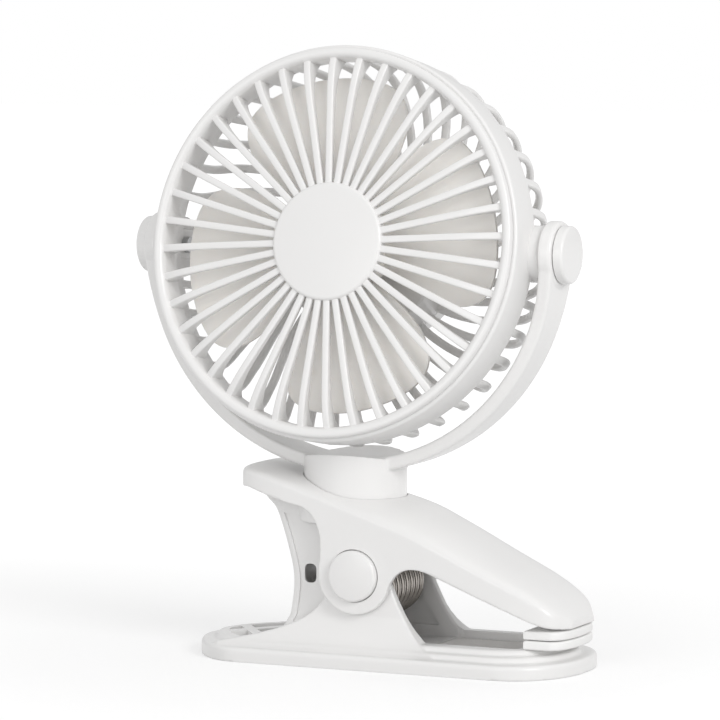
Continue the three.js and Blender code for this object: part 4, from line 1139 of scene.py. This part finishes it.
# ---------------------------------------------------------------- floor, world and lamps
def floor():
    mat = bpy.data.materials.new("floor")
    mat.use_nodes = True
    nodes, links = mat.node_tree.nodes, mat.node_tree.links
    nodes.clear()
    matt = nodes.new("ShaderNodeBsdfDiffuse")
    matt.inputs["Color"].default_value = (0.65, 0.65, 0.65, 1)
    glow = nodes.new("ShaderNodeEmission")
    path = nodes.new("ShaderNodeLightPath")
    seen = nodes.new("ShaderNodeMath")
    seen.operation = "MAXIMUM"
    links.new(path.outputs["Is Camera Ray"], seen.inputs[0])
    links.new(path.outputs["Is Glossy Ray"], seen.inputs[1])
    place = nodes.new("ShaderNodeTexCoord")
    distance = nodes.new("ShaderNodeVectorMath")
    distance.operation = "LENGTH"
    links.new(place.outputs["Object"], distance.inputs[0])
    ramp = nodes.new("ShaderNodeMapRange")
    for name, value in (("From Min", 0.1), ("From Max", 0.5), ("To Min", 0.41), ("To Max", 0.62)):
        ramp.inputs[name].default_value = value
    links.new(distance.outputs["Value"], ramp.inputs["Value"])
    level = nodes.new("ShaderNodeMath")
    level.operation = "MULTIPLY"
    links.new(ramp.outputs["Result"], level.inputs[1])
    links.new(seen.outputs[0], level.inputs[0])
    links.new(level.outputs[0], glow.inputs["Strength"])
    both = nodes.new("ShaderNodeAddShader")
    out = nodes.new("ShaderNodeOutputMaterial")
    links.new(matt.outputs[0], both.inputs[0])
    links.new(glow.outputs[0], both.inputs[1])
    links.new(both.outputs[0], out.inputs["Surface"])
    half = 6000
    corners = [(-half, -half, 0), (half, -half, 0), (half, half, 0), (-half, half, 0)]
    plane = made("floor", corners, [(0, 1, 2, 3)])
    plane.data.materials.append(mat)


def world():
    made_world = bpy.data.worlds.new("studio")
    bpy.context.scene.world = made_world
    made_world.use_nodes = True
    nodes, links = made_world.node_tree.nodes, made_world.node_tree.links
    sky = nodes["Background"]
    sky.inputs["Color"].default_value = (1, 1, 1, 1)
    path = nodes.new("ShaderNodeLightPath")
    seen = nodes.new("ShaderNodeMath")
    seen.operation = "MAXIMUM"
    links.new(path.outputs["Is Camera Ray"], seen.inputs[0])
    links.new(path.outputs["Is Transmission Ray"], seen.inputs[1])
    level = nodes.new("ShaderNodeMapRange")
    level.inputs["To Min"].default_value = 0.72
    level.inputs["To Max"].default_value = 1.0
    links.new(seen.outputs[0], level.inputs["Value"])
    links.new(level.outputs["Result"], sky.inputs["Strength"])


def lamp(name, place, aim, power, size):
    data = bpy.data.lights.new(name, "AREA")
    data.energy = power
    data.shape = "DISK"
    data.size = size
    obj = bpy.data.objects.new(name, data)
    obj.location = place
    obj.rotation_euler = (Vector(aim) - Vector(place)).to_track_quat("-Z", "Y").to_euler()
    bpy.context.scene.collection.objects.link(obj)


def lamps():
    lamp("key", (1.35, -0.75, 0.75), (0, 0, 0.08), 9.5, 0.7)
    lamp("fill", (-0.2, -1.6, 0.3), (0, 0, 0.06), 4, 0.9)


# ---------------------------------------------------------------- the scene
camera()
front_grille()
rear_cage()
rear_cover()
power_button()
impeller()
yoke()
caps()
upper_arm()
lower_arm()
jaw_pad("upper_pad")
jaw_pad("lower_pad")
grip_mat()
torsion_spring()
for node, obj in frame["nodes"].items():
    obj.data.materials.clear()
    obj.data.materials.append(FINISHES[SLOT_OF[node]])
floor()
world()
lamps()
bpy.context.scene.view_settings.view_transform = "Standard"
